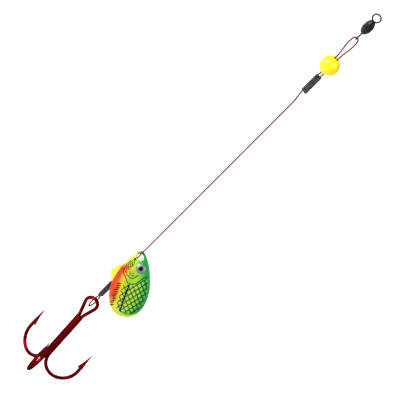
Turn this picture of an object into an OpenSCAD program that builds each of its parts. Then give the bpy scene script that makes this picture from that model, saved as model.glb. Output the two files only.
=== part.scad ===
// Inline spinner: a barrel swivel, a coated wire leader with two crimp sleeves,
// two beads, a cupped leaf blade that turns on the wire, and a treble hook.
// It hangs from the swivel's line eye, whose centre is the origin: the wire
// runs down -Z, and the blade's painted side faces -Y. All sizes are in mm.

/* [Swivel] */
// Wire diameter of both swivel eyes
eye_wire = 0.5; // [0.4:0.05:0.7]
// Bore of both swivel eyes
eye_bore = 2.04; // [1.7:0.02:2.6]
// Depth to which the forming pin has coined the inside of an eye flat
eye_land = 0.02; // [0.01:0.01:0.04]
// Distance from an eye's centre to the end of the barrel
eye_neck = 1.45; // [1.4:0.05:2]
// Diameter of the stem that turns in the barrel's end
stem_d = 0.84; // [0.7:0.02:1]
// Diameter of the head that keeps a stem in the barrel
head_d = 1.24; // [1.16:0.02:1.3]
// Radial clearance of a stem in the barrel
stem_gap = 0.05; // [0.02:0.01:0.1]
// Length of the swivel barrel
barrel_l = 4.6; // [3.8:0.1:7]
// Largest diameter of the swivel barrel
barrel_d = 3.1; // [3:0.1:4]
// Radius of the barrel's bulging side
barrel_bulge_r = 3.9; // [3.9:0.1:8]
// Wall of the barrel
barrel_wall = 0.35; // [0.25:0.05:0.45]

/* [Leader] */
// Outer diameter of the coated leader
leader_d = 0.48; // [0.36:0.02:0.52]
// Diameter of the leader's stranded steel core
core_d = 0.24; // [0.16:0.02:0.3]
// Clearance between the leader's loop and the swivel eye that it hangs on
seat_gap = 0.03; // [0.02:0.01:0.1]

/* [Sleeves] */
// Length of the upper crimp sleeve
upper_sleeve_l = 6.5; // [5:0.1:8]
// Length of the lower crimp sleeve
lower_sleeve_l = 5.5; // [4.8:0.1:7.2]
// Wall of a crimp sleeve round each strand
sleeve_wall = 0.35; // [0.25:0.05:0.5]
// Depth of the dents that the crimping jaws leave
crimp_depth = 0.12; // [0.05:0.01:0.2]
// Distance between two dents
crimp_pitch = 1.9; // [1.5:0.1:2.4]

/* [Beads] */
// Diameter of both beads
bead_d = 6; // [5:0.1:7.2]
// Gap between a bead's bore and the two strands that pass it
bead_gap = 0.12; // [0.1:0.01:0.3]
// Gap between the upper bead and its sleeve
upper_bead_rise = 1.6; // [1.4:0.1:2]
// Gap between the lower bead and its sleeve
lower_bead_rise = 0.3; // [0.22:0.02:0.5]

/* [Blade] */
// Length of the blade
blade_l = 19.6; // [16:0.2:24]
// Width of the blade
blade_w = 11.2; // [9:0.1:14]
// Thickness of the blade
blade_t = 0.4; // [0.3:0.02:0.5]
// Diameter of the hole that the leader passes
blade_hole_d = 1.8; // [1.76:0.02:2.1]
// Distance from the blade's tip to the middle of its hole
hole_inset = 1.8; // [1.7:0.1:2.4]
// Radius of the blade's cup along its length
cup_long_r = 30; // [28:1:34]
// Radius of the blade's cup across its width
cup_cross_r = 18; // [14:1:24]
// Thickness of the printed foil on the blade's outer side
foil_t = 0.06; // [0.04:0.01:0.1]
// Bare edge between the foil and the blade's outline
foil_margin = 0.12; // [0.08:0.02:0.4]
// Sideways shift of the hole from the wire that passes it
hole_shift = 0.4; // [0:0.05:0.4]
// Sideways lean of the blade
lean_side = 27.5; // [0:0.5:35]
// Outward lean of the blade
lean_out = 20; // [19:0.5:26]
// Clearance between the blade's back and the bead that it lies on
rest_gap = 0.1; // [0.06:0.02:0.3]

/* [Treble hook] */
// Wire diameter of the hooks
hook_wire = 1.1; // [0.9:0.02:1.2]
// Outer width of the hook's eye
hook_eye_w = 4.9; // [4.8:0.1:5.6]
// Depth of the hook's eye, from its top bar down to its neck
hook_eye_l = 6.5; // [5.6:0.1:7.8]
// Distance from the neck of the eye down to the start of the bends
hook_shank_l = 15.2; // [12:0.2:18]
// Radius of each bend
hook_bend_r = 5.15; // [4.2:0.05:6.2]
// Height of each point above the start of its bend
hook_point_l = 7.3; // [6:0.1:9]
// Length of the tapered spear at each point
spear_l = 5.6; // [4:0.1:5.8]
// Length of the cut that raises each barb
barb_l = 1.9; // [1.4:0.1:2.4]
// Reach of each barb from its wire
barb_h = 0.7; // [0.4:0.05:0.9]
// Free play between the hook's eye and the leader's loop
hook_play = 2; // [1.4:0.1:2.2]
// Turn of the treble hook about the wire
hook_turn = -6; // [-30:1:30]
// Lean of the treble hook from the wire
hook_lean = 3; // [0:0.5:5]
// Gap between two shanks, which the brazing fills
shank_gap = 0.12; // [0.08:0.01:0.2]
// Depth to which the shanks stand out of the brazing
shank_proud = 0.06; // [0.03:0.01:0.2]

/* [Hidden] */
$fn = 64;
over = 0.01;

// Swivel, from the line eye down
eye_r = eye_bore / 2 - eye_land + eye_wire / 2;
barrel_z = -eye_neck - barrel_l / 2;
leader_eye_z = -2 * eye_neck - barrel_l;
stem_hole_r = stem_d / 2 + stem_gap;
neck_x = 0.8 * (stem_d - eye_wire) / 2;
elbow = 1.03;
head_play = 0.03;
cavity_half_l = barrel_l / 2 - barrel_wall;
head_seat = sqrt(pow(head_d / 2, 2) - pow(stem_hole_r, 2));
head_drop = eye_neck + barrel_wall + head_seat + head_play;

// Leader. Its route starts in the upper sleeve, runs up round the swivel's
// eye, down the whole lure, round the hook's eye and back into the lower
// sleeve. Each point is [distance to the side, height, turn of the side].
leader_z = leader_eye_z - eye_r + eye_wire / 2 + leader_d / 2 + seat_gap;
strand_x = 0.425;
lower_turn = 58;
ROUTE = [
    [0.425, -22.9, 0], [0.425, -15, 0], [0.425, -8.3, 0],
    [0.5, -7, 0], [0.68, -5.6, 0], [0.88, -4, 0],
    [0.97, -2.6, 0], [0.92, -1.4, 0], [0.74, -0.6, 0], [0.4, -0.12, 0], [0, 0, 0],
    [-0.4, -0.12, 0], [-0.74, -0.6, 0], [-0.92, -1.4, 0], [-0.97, -2.6, 0],
    [-0.88, -4, 0], [-0.68, -5.6, 0], [-0.5, -7, 0], [-0.425, -8.3, 0],
    [-0.425, -15, 0], [-0.425, -22.9, 0],
    [-0.3, -24.4, 0], [-0.08, -26.4, 0], [0, -28.4, 0], [0, -50, 20], [0, -72, 40],
    [0, -96, 58], [0, -98.6, 58], [-0.06, -100.2, 58], [-0.3, -102.6, 58],
    [-0.425, -104.2, 58], [-0.425, -109.9, 58],
    [-0.52, -110.7, 58], [-0.74, -111.4, 58], [-0.87, -112.2, 58],
    [-0.86, -113.1, 58], [-0.7, -114, 58], [-0.38, -114.65, 58], [0, -114.8, 58],
    [0.38, -114.65, 58], [0.7, -114, 58], [0.86, -113.1, 58],
    [0.87, -112.2, 58], [0.74, -111.4, 58], [0.52, -110.7, 58],
    [0.425, -109.9, 58], [0.425, -104.3, 58]];
upper_sleeve_top = -16.2;
lower_sleeve_top = -104.5;
lower_loop_z = -114.8;
tube_sides = 8;
core_gap = 0.005;
strand_bore_gap = 0.01;

// Beads
bead_bore = 2 * strand_x + leader_d + 2 * bead_gap;
bead_half_l = sqrt(pow(bead_d / 2, 2) - pow(bead_bore / 2, 2));
bead_chamfer = 0.15;
upper_bead_z = upper_sleeve_top + upper_bead_rise + bead_half_l;
lower_bead_z = lower_sleeve_top + lower_bead_rise + bead_half_l;

// Blade. Its hole is at its local origin, and its tip points up.
blade_mid = blade_l / 2 - hole_inset;
cup_y = sqrt(pow(cup_long_r, 2) - pow(blade_mid, 2));
seat_steps = 20;
blade_z = lower_bead_z + blade_rise(bead_d / 2, 3 * bead_d, seat_steps);
cup_sweep = 2 * asin((blade_l / 2 + 1) / cup_long_r);
leaf_low = 1.45;
leaf_full = 0.41;
leaf_steps = 64;
foil_hole_gap = 0.1;

// Treble hook. Its local origin is the leader's lower turn, on which it hangs.
shank_pitch = hook_wire + shank_gap;
eye_arc_r = (hook_eye_w - hook_wire) / 2;
eye_bar_z = leader_d / 2 + hook_play + hook_wire / 2;
eye_arc_z = eye_bar_z - eye_arc_r;
neck_z = eye_bar_z - hook_eye_l;
bend_z = neck_z - hook_shank_l;
single_y = -shank_pitch * sin(60);
single_top_z = neck_z - 0.6;
point_r = 0.03;
barb_t = 0.36;
braze_r = shank_pitch / sqrt(3) + hook_wire / 2 - shank_proud;
braze_top_z = neck_z - 0.2;
braze_low_z = bend_z + 0.6;
braze_gap = 0.01;

// A straight round wire in the XZ plane, from one point to another
module wire(from, to, r) {
    run = to - from;
    translate([from[0], 0, from[1]])
        rotate([0, atan2(run[0], run[1]), 0])
            cylinder(r = r, h = norm(run));
}

// A pear-shaped eye in the XZ plane: an arc of wire whose legs meet at a neck
module pear_eye(arc_r, neck, r) {
    reach = norm(neck);
    side = atan2(neck[0], -neck[1]) + acos(arc_r / reach);
    touch = arc_r * [sin(side), -cos(side)];
    rotate([90, 0, 0])
        rotate([0, 0, side - 90])
            rotate_extrude(angle = 360 - 2 * side)
                translate([arc_r, 0]) circle(r = r);
    for (s = [-1, 1]) {
        wire([s * touch[0], touch[1]], [s * neck[0], neck[1]], r);
        translate([s * touch[0], 0, touch[1]]) sphere(r = elbow * r);
        translate([s * neck[0], 0, neck[1]]) sphere(r = elbow * r);
    }
}

// One swivel eye, with the stem and the head that turn inside the barrel
module swivel_eye() {
    difference() {
        union() {
            pear_eye(eye_r, [neck_x, 0.15 - eye_neck], eye_wire / 2);
            translate([0, 0, -head_drop]) {
                cylinder(r = stem_d / 2, h = head_drop - eye_neck + 0.3);
                sphere(r = head_d / 2);
            }
        }
        rotate([90, 0, 0]) cylinder(r = eye_bore / 2, h = 2 * eye_wire, center = true);
    }
}

module line_eye() {
    color([0.07, 0.07, 0.08]) swivel_eye();
}

module leader_eye() {
    color([0.07, 0.07, 0.08])
        translate([0, 0, leader_eye_z])
            rotate([0, 0, 90]) rotate([180, 0, 0]) swivel_eye();
}

// Half of the barrel's section, bulged by its side's radius
module barrel_section(inset, half_l) {
    intersection() {
        translate([barrel_d / 2 - barrel_bulge_r, 0])
            circle(r = barrel_bulge_r - inset, $fn = 128);
        translate([0, -half_l]) square([barrel_d, 2 * half_l]);
    }
}

module swivel_barrel() {
    color([0.09, 0.09, 0.1])
        translate([0, 0, barrel_z])
            difference() {
                rotate_extrude() barrel_section(0, barrel_l / 2);
                rotate_extrude() barrel_section(barrel_wall, cavity_half_l);
                cylinder(r = stem_hole_r, h = barrel_l + 2 * over, center = true);
            }
}

// Smooth curve through the route's points
function curve_at(a, b, c, d, f) =
    0.5 * (2 * b + (c - a) * f + (2 * a - 5 * b + 4 * c - d) * f * f
        + (3 * b - a - 3 * c + d) * f * f * f);

function is_run(i) = abs(ROUTE[i][0] - ROUTE[i + 1][0]) < 0.001;

function leader_points() = let (last = len(ROUTE) - 1)
    [for (i = [0:last - 1])
        let (a = ROUTE[max(0, i - 1)], b = ROUTE[i], c = ROUTE[i + 1],
            d = ROUTE[min(last, i + 2)], parts = is_run(i) ? 1 : 2)
        for (k = [0:parts - 1]) is_run(i) ? b : curve_at(a, b, c, d, k / parts),
    ROUTE[last]];

function side_dir(turn) = [cos(turn), sin(turn), 0];
function ring_normal(turn) = [-sin(turn), cos(turn), 0];
function route_place(p) = p[0] * side_dir(p[2]) + [0, 0, p[1]];

// Rings of points round the leader's centreline
function leader_rings(points, r) = let (last = len(points) - 1)
    [for (i = [0:last])
        let (run = route_place(points[min(last, i + 1)]) - route_place(points[max(0, i - 1)]),
            ahead = run / norm(run), flat = ring_normal(points[i][2]),
            out = cross(ahead, flat))
        for (k = [0:tube_sides - 1])
            let (a = 360 * (k + 0.5) / tube_sides)
            route_place(points[i]) + r * (cos(a) * flat + sin(a) * out)];

// Side faces of a tube with the given number of rings, from a first vertex on
function tube_walls(rings, first, inward) =
    [for (i = [0:rings - 2], k = [0:tube_sides - 1])
        let (a = first + i * tube_sides + k,
            b = first + i * tube_sides + (k + 1) % tube_sides)
        inward ? [a, b, b + tube_sides, a + tube_sides]
            : [a, a + tube_sides, b + tube_sides, b]];

module leader_tube(r) {
    points = leader_points();
    rings = len(points);
    last = (rings - 1) * tube_sides;
    caps = [[for (k = [0:tube_sides - 1]) k], [for (k = [tube_sides - 1:-1:0]) last + k]];
    translate([0, 0, leader_z])
        polyhedron(leader_rings(points, r), concat(tube_walls(rings, 0, false), caps));
}

module leader_sheath(r_out, r_in) {
    points = leader_points();
    rings = len(points);
    inner = rings * tube_sides;
    last = (rings - 1) * tube_sides;
    ends = [for (k = [0:tube_sides - 1], end = [0, 1])
        let (a = end * last + k, b = end * last + (k + 1) % tube_sides)
        end == 0 ? [a, b, b + inner, a + inner] : [a, a + inner, b + inner, b]];
    translate([0, 0, leader_z])
        polyhedron(concat(leader_rings(points, r_out), leader_rings(points, r_in)),
            concat(tube_walls(rings, 0, false), tube_walls(rings, inner, true), ends));
}

module leader_jacket() {
    color([0.5, 0.2, 0.09]) leader_sheath(leader_d / 2, core_d / 2 + core_gap);
}

module leader_core() {
    color([0.6, 0.6, 0.62]) leader_tube(core_d / 2);
}

// A double-barrel crimp sleeve that hangs down from its top, with jaw dents
module sleeve(length) {
    barrel_r = leader_d / 2 + sleeve_wall;
    dent_r = 0.9;
    difference() {
        translate([0, 0, -length]) linear_extrude(length) {
            for (s = [-1, 1]) translate([s * strand_x, 0]) circle(r = barrel_r);
            square([2 * strand_x, 1.7 * barrel_r], center = true);
        }
        for (s = [-1, 1]) {
            translate([s * strand_x, 0, -length - over])
                cylinder(r = leader_d / 2 + strand_bore_gap, h = length + 2 * over);
            for (k = [-1:1])
                translate([0, s * (barrel_r + dent_r - crimp_depth), k * crimp_pitch - length / 2])
                    rotate([0, 90, 0]) cylinder(r = dent_r, h = 4 * barrel_r, center = true);
        }
    }
}

module upper_sleeve() {
    color([0.24, 0.25, 0.25])
        translate([0, 0, leader_z + upper_sleeve_top]) sleeve(upper_sleeve_l);
}

module lower_sleeve() {
    color([0.24, 0.25, 0.25])
        translate([0, 0, leader_z + lower_sleeve_top])
            rotate([0, 0, lower_turn]) sleeve(lower_sleeve_l);
}

module bead() {
    difference() {
        sphere(r = bead_d / 2, $fn = 96);
        cylinder(r = bead_bore / 2, h = bead_d, center = true);
        for (s = [0, 180])
            rotate([s, 0, 0])
                translate([0, 0, bead_half_l - bead_chamfer])
                    cylinder(r1 = bead_bore / 2, r2 = bead_bore / 2 + 2 * bead_chamfer,
                        h = 2 * bead_chamfer);
    }
}

module upper_bead() {
    color([1, 0.85, 0.02]) translate([0, 0, leader_z + upper_bead_z]) bead();
}

module lower_bead() {
    color([1, 0.85, 0.02]) translate([0, 0, leader_z + lower_bead_z]) bead();
}

// The leaf outline: pointed at the hole, fullest below the middle
function leaf_half(f, width) = width / 2 * pow(sin(180 * pow(f, leaf_low)), leaf_full);

module leaf(inset) {
    length = blade_l - 2 * inset;
    width = blade_w - 2 * inset;
    side = [for (i = [1:leaf_steps - 1])
        let (f = (1 - cos(180 * i / leaf_steps)) / 2)
        [leaf_half(f, width), hole_inset - inset - f * length]];
    flip = [for (i = [len(side) - 1:-1:0]) [-side[i][0], side[i][1]]];
    polygon(concat([[0, hole_inset - inset]], side,
        [[0, hole_inset - inset - length]], flip));
}

// A cupped sheet between two depths under the blade's middle surface
module cup(low, high) {
    arc_x = cup_long_r - cup_cross_r;
    translate([0, cup_y, -blade_mid])
        rotate([0, 90, 0])
            rotate([0, 0, -90 - cup_sweep / 2])
                rotate_extrude(angle = cup_sweep, $fn = 128)
                    intersection() {
                        difference() {
                            translate([arc_x, 0]) circle(r = cup_cross_r + high, $fn = 128);
                            translate([arc_x, 0]) circle(r = cup_cross_r + low, $fn = 128);
                        }
                        translate([arc_x + cup_cross_r / 2, -blade_w])
                            square([cup_cross_r, 2 * blade_w]);
                    }
}

// A cupped leaf with the wire's hole, placed on the leader
module blade_sheet(low, high, inset, hole_d) {
    stack = 12;
    translate([hole_shift, 0, leader_z + blade_z])
        rotate([-lean_out, 0, 0]) rotate([0, -lean_side, 0])
            intersection() {
                cup(low, high);
                rotate([90, 0, 0])
                    linear_extrude(stack, center = true)
                        difference() {
                            leaf(inset);
                            circle(r = hole_d / 2);
                        }
            }
}

module blade() {
    color([0.78, 0.68, 0.3]) blade_sheet(-blade_t / 2, blade_t / 2, 0, blade_hole_d);
}

module blade_foil() {
    color([0.35, 0.75, 0.2])
        blade_sheet(blade_t / 2, blade_t / 2 + foil_t, foil_margin,
            blade_hole_d + 2 * foil_hole_gap);
}

// Distance from a point on the wire, so far below the hole, to the blade's back
function back_dist(drop) = let (
        x = hole_shift * cos(lean_side) + drop * cos(lean_out) * sin(lean_side),
        y = drop * sin(lean_out) - cup_y,
        z = blade_mid + hole_shift * sin(lean_side) - drop * cos(lean_out) * cos(lean_side),
        ring = norm([y, z]) - (cup_long_r - cup_cross_r))
    cup_cross_r - blade_t / 2 - norm([ring, x]);

// Height of the blade's hole over the bead that the blade's back rests on,
// found by halving the span between a drop that is too short and one too long
function blade_rise(short, long, steps) = let (mid = (short + long) / 2)
    steps == 0 ? mid
    : back_dist(mid) < bead_d / 2 + rest_gap ? blade_rise(mid, long, steps - 1)
    : blade_rise(short, mid, steps - 1);

// From a shank's end: the bend, the point's leg, its spear and its barb, in
// the XZ plane towards +X
module hook_limb() {
    leg_x = 2 * hook_bend_r;
    spear_z = bend_z + hook_point_l - spear_l;
    tip_z = bend_z + hook_point_l;
    r = hook_wire / 2;
    translate([hook_bend_r, 0, bend_z])
        rotate([90, 0, 0]) rotate([0, 0, 180])
            rotate_extrude(angle = 180) translate([hook_bend_r, 0]) circle(r = r);
    for (x = [0, leg_x]) translate([x, 0, bend_z]) sphere(r = elbow * r);
    translate([leg_x, 0, bend_z]) cylinder(r = r, h = spear_z - bend_z);
    translate([leg_x, 0, spear_z]) cylinder(r1 = r, r2 = point_r, h = spear_l);
    rotate([90, 0, 0])
        linear_extrude(barb_t, center = true)
            polygon([[leg_x - r - barb_h, spear_z - 0.1], [leg_x - r / 2, spear_z + 0.5],
                [leg_x - r / 2, tip_z - 0.6 * spear_l + barb_l],
                [leg_x - r * 0.8, tip_z - 0.6 * spear_l + barb_l / 2]]);
}

// The treble hook's place: hung on the leader's lower turn, leaning a little
module on_loop() {
    translate([0, 0, leader_z + lower_loop_z])
        rotate([0, 0, hook_turn]) rotate([0, -hook_lean, 0]) children();
}

module double_hook() {
    r = hook_wire / 2;
    color([0.45, 0.06, 0.09])
        on_loop() {
            translate([0, 0, eye_arc_z])
                pear_eye(eye_arc_r, [shank_pitch / 2, neck_z - eye_arc_z], r);
            for (s = [-1, 1])
                translate([s * shank_pitch / 2, 0, 0]) {
                    translate([0, 0, bend_z]) cylinder(r = r, h = neck_z - bend_z);
                    rotate([0, 0, 90 - s * 60]) hook_limb();
                }
        }
}

module single_hook() {
    r = hook_wire / 2;
    color([0.5, 0.07, 0.1])
        on_loop()
            translate([0, single_y, 0]) {
                translate([0, 0, bend_z]) cylinder(r = r, h = single_top_z - bend_z);
                translate([0, 0, single_top_z]) sphere(r = r);
                rotate([0, 0, -90]) hook_limb();
            }
}

module hook_braze() {
    centre_y = single_y / 3;
    r = hook_wire / 2 + braze_gap;
    color([0.35, 0.05, 0.07])
        on_loop()
            difference() {
                translate([0, centre_y, braze_low_z])
                    cylinder(r = braze_r, h = braze_top_z - braze_low_z);
                for (p = [[-shank_pitch / 2, 0], [shank_pitch / 2, 0], [0, single_y]])
                    translate([p[0], p[1], braze_low_z - 1])
                        cylinder(r = r, h = braze_top_z - braze_low_z + 2);
            }
}

swivel_barrel();
line_eye();
leader_eye();
leader_jacket();
leader_core();
upper_sleeve();
lower_sleeve();
upper_bead();
lower_bead();
blade();
blade_foil();
double_hook();
single_hook();
hook_braze();
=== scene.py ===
"""Looks of an inline spinner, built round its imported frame.

The lure hangs from the swivel's line eye, whose centre is the origin. The leader
runs down -Z, and the blade's printed side faces -Y. Sizes in the classes are in
millimetres, and every mesh is made in metres.
"""

import logging
import math
from dataclasses import dataclass, field
from enum import Enum
from typing import Callable, Optional, Sequence

import bpy
import numpy as np
from mathutils import Matrix, Vector
from mathutils.geometry import delaunay_2d_cdt


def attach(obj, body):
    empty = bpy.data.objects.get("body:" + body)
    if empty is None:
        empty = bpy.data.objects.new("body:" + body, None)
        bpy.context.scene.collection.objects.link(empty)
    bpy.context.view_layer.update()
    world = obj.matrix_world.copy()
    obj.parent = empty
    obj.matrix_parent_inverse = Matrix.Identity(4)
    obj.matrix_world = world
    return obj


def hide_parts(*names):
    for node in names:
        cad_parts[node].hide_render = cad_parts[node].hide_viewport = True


LOG = logging.getLogger("spinner")
MM = 0.001
FAR = 99.0  # Millimetres: past the reach of any hook point.

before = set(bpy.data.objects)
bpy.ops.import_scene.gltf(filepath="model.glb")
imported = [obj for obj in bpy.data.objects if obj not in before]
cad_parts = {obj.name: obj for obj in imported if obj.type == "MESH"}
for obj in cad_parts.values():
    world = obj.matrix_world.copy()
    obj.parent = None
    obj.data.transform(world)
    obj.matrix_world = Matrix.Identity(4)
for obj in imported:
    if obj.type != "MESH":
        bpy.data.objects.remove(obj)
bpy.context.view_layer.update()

Colour = tuple[float, float, float]
Point2 = tuple[float, float]

# Half width and half height of one scale of the fish, and the middle of its net,
# to the right of the blade's hole and below it.
SCALE_CELL: Point2 = (0.78, 0.92)
SCALE_CENTRE: Point2 = (0.73, 11.56)


# --------------------------------------------------------------------------
# Shapes
# --------------------------------------------------------------------------
@dataclass
class Shell:
    """A closed mesh in millimetres, with named values kept on its points."""

    points: np.ndarray
    faces: list[tuple[int, ...]]
    values: dict[str, np.ndarray] = field(default_factory=dict)

    def placed(self, place: Matrix) -> "Shell":
        """Returns this shell moved by a matrix in millimetres."""
        turn = np.array(place.to_3x3())
        shift = np.array(place.translation)
        return Shell(self.points @ turn.T + shift, self.faces, self.values)

    def joined(self, others: Sequence["Shell"]) -> "Shell":
        """Returns one shell that holds this one and others.

        Args:
            others: Shells with the same named values as this one.

        Returns:
            The joined shell.
        """
        shells = [self, *others]
        starts = np.cumsum([0] + [len(shell.points) for shell in shells])
        faces = [
            tuple(int(corner + start) for corner in face)
            for shell, start in zip(shells, starts)
            for face in shell.faces
        ]
        values = {
            name: np.concatenate([shell.values[name] for shell in shells])
            for name in self.values
        }
        return Shell(np.concatenate([shell.points for shell in shells]), faces, values)

    def piece(
        self,
        name: str,
        material: bpy.types.Material,
        body: str,
        slot: str,
        stands_for: Sequence[str] = (),
        crease: float = 42.0,
    ) -> bpy.types.Object:
        """Makes the shell a piece of the lure.

        Args:
            name: The piece's name.
            material: Its finish.
            body: The CAD body that it moves with.
            slot: The record's material slot; not used.
            stands_for: CAD nodes that it takes the place of.
            crease: Angle in degrees past which an edge stays sharp.

        Returns:
            The new object.
        """
        mesh = bpy.data.meshes.new(name)
        mesh.from_pydata((self.points * MM).tolist(), [], self.faces)
        for label, numbers in self.values.items():
            layer = mesh.attributes.new(label, "FLOAT", "POINT")
            layer.data.foreach_set("value", np.asarray(numbers, np.float32))
        mesh.validate()
        mesh.shade_smooth()
        mesh.set_sharp_from_angle(angle=math.radians(crease))
        mesh.materials.append(material)
        made = bpy.data.objects.new(name, mesh)
        bpy.context.scene.collection.objects.link(made)
        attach(made, body)
        if stands_for:
            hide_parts(*stands_for)
        LOG.info("%s: %d points on %s", name, len(self.points), body)
        return made


def curve_through(stops: Sequence[Sequence[float]], step: float) -> np.ndarray:
    """Runs a smooth curve through points, then spaces points evenly along it.

    Args:
        stops: Points that the curve passes.
        step: Distance between two points of the result.

    Returns:
        The curve's points, one row each.
    """
    knots = np.asarray(stops, float)
    last = len(knots) - 1
    fine = []
    for i in range(last):
        a, b, c, d = (knots[min(max(i + k, 0), last)] for k in (-1, 0, 1, 2))
        for f in np.linspace(0, 1, 16, endpoint=False):
            fine.append(0.5 * (2 * b + (c - a) * f + (2 * a - 5 * b + 4 * c - d) * f**2
                               + (3 * b - a - 3 * c + d) * f**3))
    fine.append(knots[-1])
    return evenly_spaced(np.array(fine), step)


def evenly_spaced(line: np.ndarray, step: float) -> np.ndarray:
    """Spaces points evenly along a line of points.

    Args:
        line: The line, one row a point.
        step: Rough distance between two points of the result.

    Returns:
        The new points, with the same first and last one.
    """
    runs = np.linalg.norm(np.diff(line, axis=0), axis=1)
    along = np.concatenate([[0], np.cumsum(runs)])
    wanted = np.linspace(0, along[-1], max(3, round(along[-1] / step) + 1))
    return np.stack([np.interp(wanted, along, line[:, k]) for k in range(line.shape[1])], axis=1)


def distances(line: np.ndarray) -> np.ndarray:
    """Returns how far along a line each of its points lies."""
    return np.concatenate([[0], np.cumsum(np.linalg.norm(np.diff(line, axis=0), axis=1))])


def cross_frames(line: np.ndarray, side: Sequence[float]) -> tuple[np.ndarray, np.ndarray, np.ndarray]:
    """Carries a cross frame along a line without twisting it.

    Args:
        line: The line's points.
        side: A direction that the first frame's side is closest to.

    Returns:
        The directions ahead, to the side and across, one row a point.
    """
    ahead = np.gradient(line, axis=0)
    ahead /= np.linalg.norm(ahead, axis=1, keepdims=True)
    sides = np.zeros_like(line)
    now = np.asarray(side, float)
    for i, direction in enumerate(ahead):
        now = now - (now @ direction) * direction
        now = now / np.linalg.norm(now)
        sides[i] = now
    return ahead, sides, np.cross(ahead, sides)


def ring_strip(first: int, second: int, count: int) -> list[tuple[int, ...]]:
    """Returns the faces between two closed rings of points, by their first numbers."""
    return [
        (first + k, first + (k + 1) % count, second + (k + 1) % count, second + k)
        for k in range(count)
    ]


def swept_wire(
    line: np.ndarray,
    radius: np.ndarray | float,
    sides: int,
    side: Sequence[float] = (0, 1, 0),
    lay: float = 0.0,
    shape: Optional[Callable[[np.ndarray, np.ndarray], np.ndarray]] = None,
    push: Optional[Callable[[np.ndarray, np.ndarray, np.ndarray, np.ndarray], np.ndarray]] = None,
) -> Shell:
    """Sweeps a round wire with domed ends along a line.

    Args:
        line: The wire's centreline.
        radius: Its radius, as one number or one for each point.
        sides: Points round the wire.
        side: A direction that the seam starts closest to.
        lay: Turn of the section in degrees for each millimetre.
        shape: Gives the share of the radius from distance along and angle round.
        push: Gives an extra shift of each point from distance along, angle round,
            the direction ahead and the direction out.

    Returns:
        The wire, with its place along and round kept as values.
    """
    count = len(line)
    radii = np.broadcast_to(np.asarray(radius, float), (count,)).copy()
    ahead, across, up = cross_frames(line, side)
    along = distances(line)
    domes = np.radians([80, 55, 28])
    places, sizes, frames_at, lengths = [], [], [], []
    for lift in domes:
        places.append(line[0] - ahead[0] * radii[0] * math.sin(lift))
        sizes.append(radii[0] * math.cos(lift))
        frames_at.append(0)
        lengths.append(along[0])
    for i in range(count):
        places.append(line[i])
        sizes.append(radii[i])
        frames_at.append(i)
        lengths.append(along[i])
    for lift in domes[::-1]:
        places.append(line[-1] + ahead[-1] * radii[-1] * math.sin(lift))
        sizes.append(radii[-1] * math.cos(lift))
        frames_at.append(count - 1)
        lengths.append(along[-1])
    centre = np.array(places)[:, None, :]
    sizes_at = np.array(sizes)[:, None]
    at = np.array(frames_at)
    angle = np.linspace(0, 2 * math.pi, sides, endpoint=False)[None, :]
    length_at = np.array(lengths)[:, None] + 0 * angle
    turned = angle + np.radians(lay) * length_at
    share = shape(length_at, angle + 0 * length_at) if shape else 1.0
    out = np.cos(turned)[..., None] * across[at][:, None, :]
    out = out + np.sin(turned)[..., None] * up[at][:, None, :]
    points = centre + (sizes_at * share)[..., None] * out
    if push:
        points = points + push(length_at, turned, ahead[at][:, None, :], out)
    values = {
        "along": length_at.ravel(),
        "round_c": np.cos(turned).ravel(),
        "round_s": np.sin(turned).ravel(),
    }
    return Shell(points.reshape(-1, 3), tube_faces(len(places), sides), values)


def tube_faces(rings: int, sides: int, turned_over: bool = False) -> list[tuple[int, ...]]:
    """Returns the faces of a closed tube.

    Args:
        rings: How many rings of points it has.
        sides: Points in each ring.
        turned_over: Whether the rings run clockwise, seen from the tube's far end.

    Returns:
        The near cap, the strips between the rings, and the far cap.
    """
    near, far = tuple(range(sides)), tuple(range((rings - 1) * sides, rings * sides))
    faces: list[tuple[int, ...]] = [near if turned_over else near[::-1]]
    for i in range(rings - 1):
        ends = (i * sides, (i + 1) * sides)
        first, second = ends[::-1] if turned_over else ends
        faces += ring_strip(first, second, sides)
    faces.append(far[::-1] if turned_over else far)
    return faces


def turned_shell(profile: Sequence[Point2], segments: int) -> Shell:
    """Turns a closed profile of radii and heights about Z.

    Args:
        profile: Corners of the profile, counter-clockwise with radius to the right.
        segments: Points round the axis.

    Returns:
        The turned shell, with its angle round and its height kept as values.
    """
    loop = np.asarray(profile, float)
    angle = np.linspace(0, 2 * math.pi, segments, endpoint=False)
    radius, height = loop[:, 0][:, None], loop[:, 1][:, None]
    points = np.stack([radius * np.cos(angle), radius * np.sin(angle), height + 0 * angle], axis=2)
    faces: list[tuple[int, ...]] = []
    for i in range(len(loop)):
        following = (i + 1) % len(loop)
        faces += ring_strip(i * segments, following * segments, segments)
    values = {
        "along": (height + 0 * angle).ravel(),
        "round_c": (np.cos(angle) + 0 * height).ravel(),
        "round_s": (np.sin(angle) + 0 * height).ravel(),
    }
    return Shell(points.reshape(-1, 3), [face[::-1] for face in faces], values)


def arc(centre: Point2, radius: float, start: float, end: float, count: int) -> list[Point2]:
    """Returns points on an arc, from one angle in degrees to another."""
    return [
        (centre[0] + radius * math.cos(math.radians(a)), centre[1] + radius * math.sin(math.radians(a)))
        for a in np.linspace(start, end, count)
    ]


def loop_normals(loop: np.ndarray) -> np.ndarray:
    """Returns the outward normals of a closed, counter-clockwise loop in the plane."""
    run = np.roll(loop, -1, axis=0) - np.roll(loop, 1, axis=0)
    run /= np.linalg.norm(run, axis=1, keepdims=True)
    return np.stack([run[:, 1], -run[:, 0]], axis=1)


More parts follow.
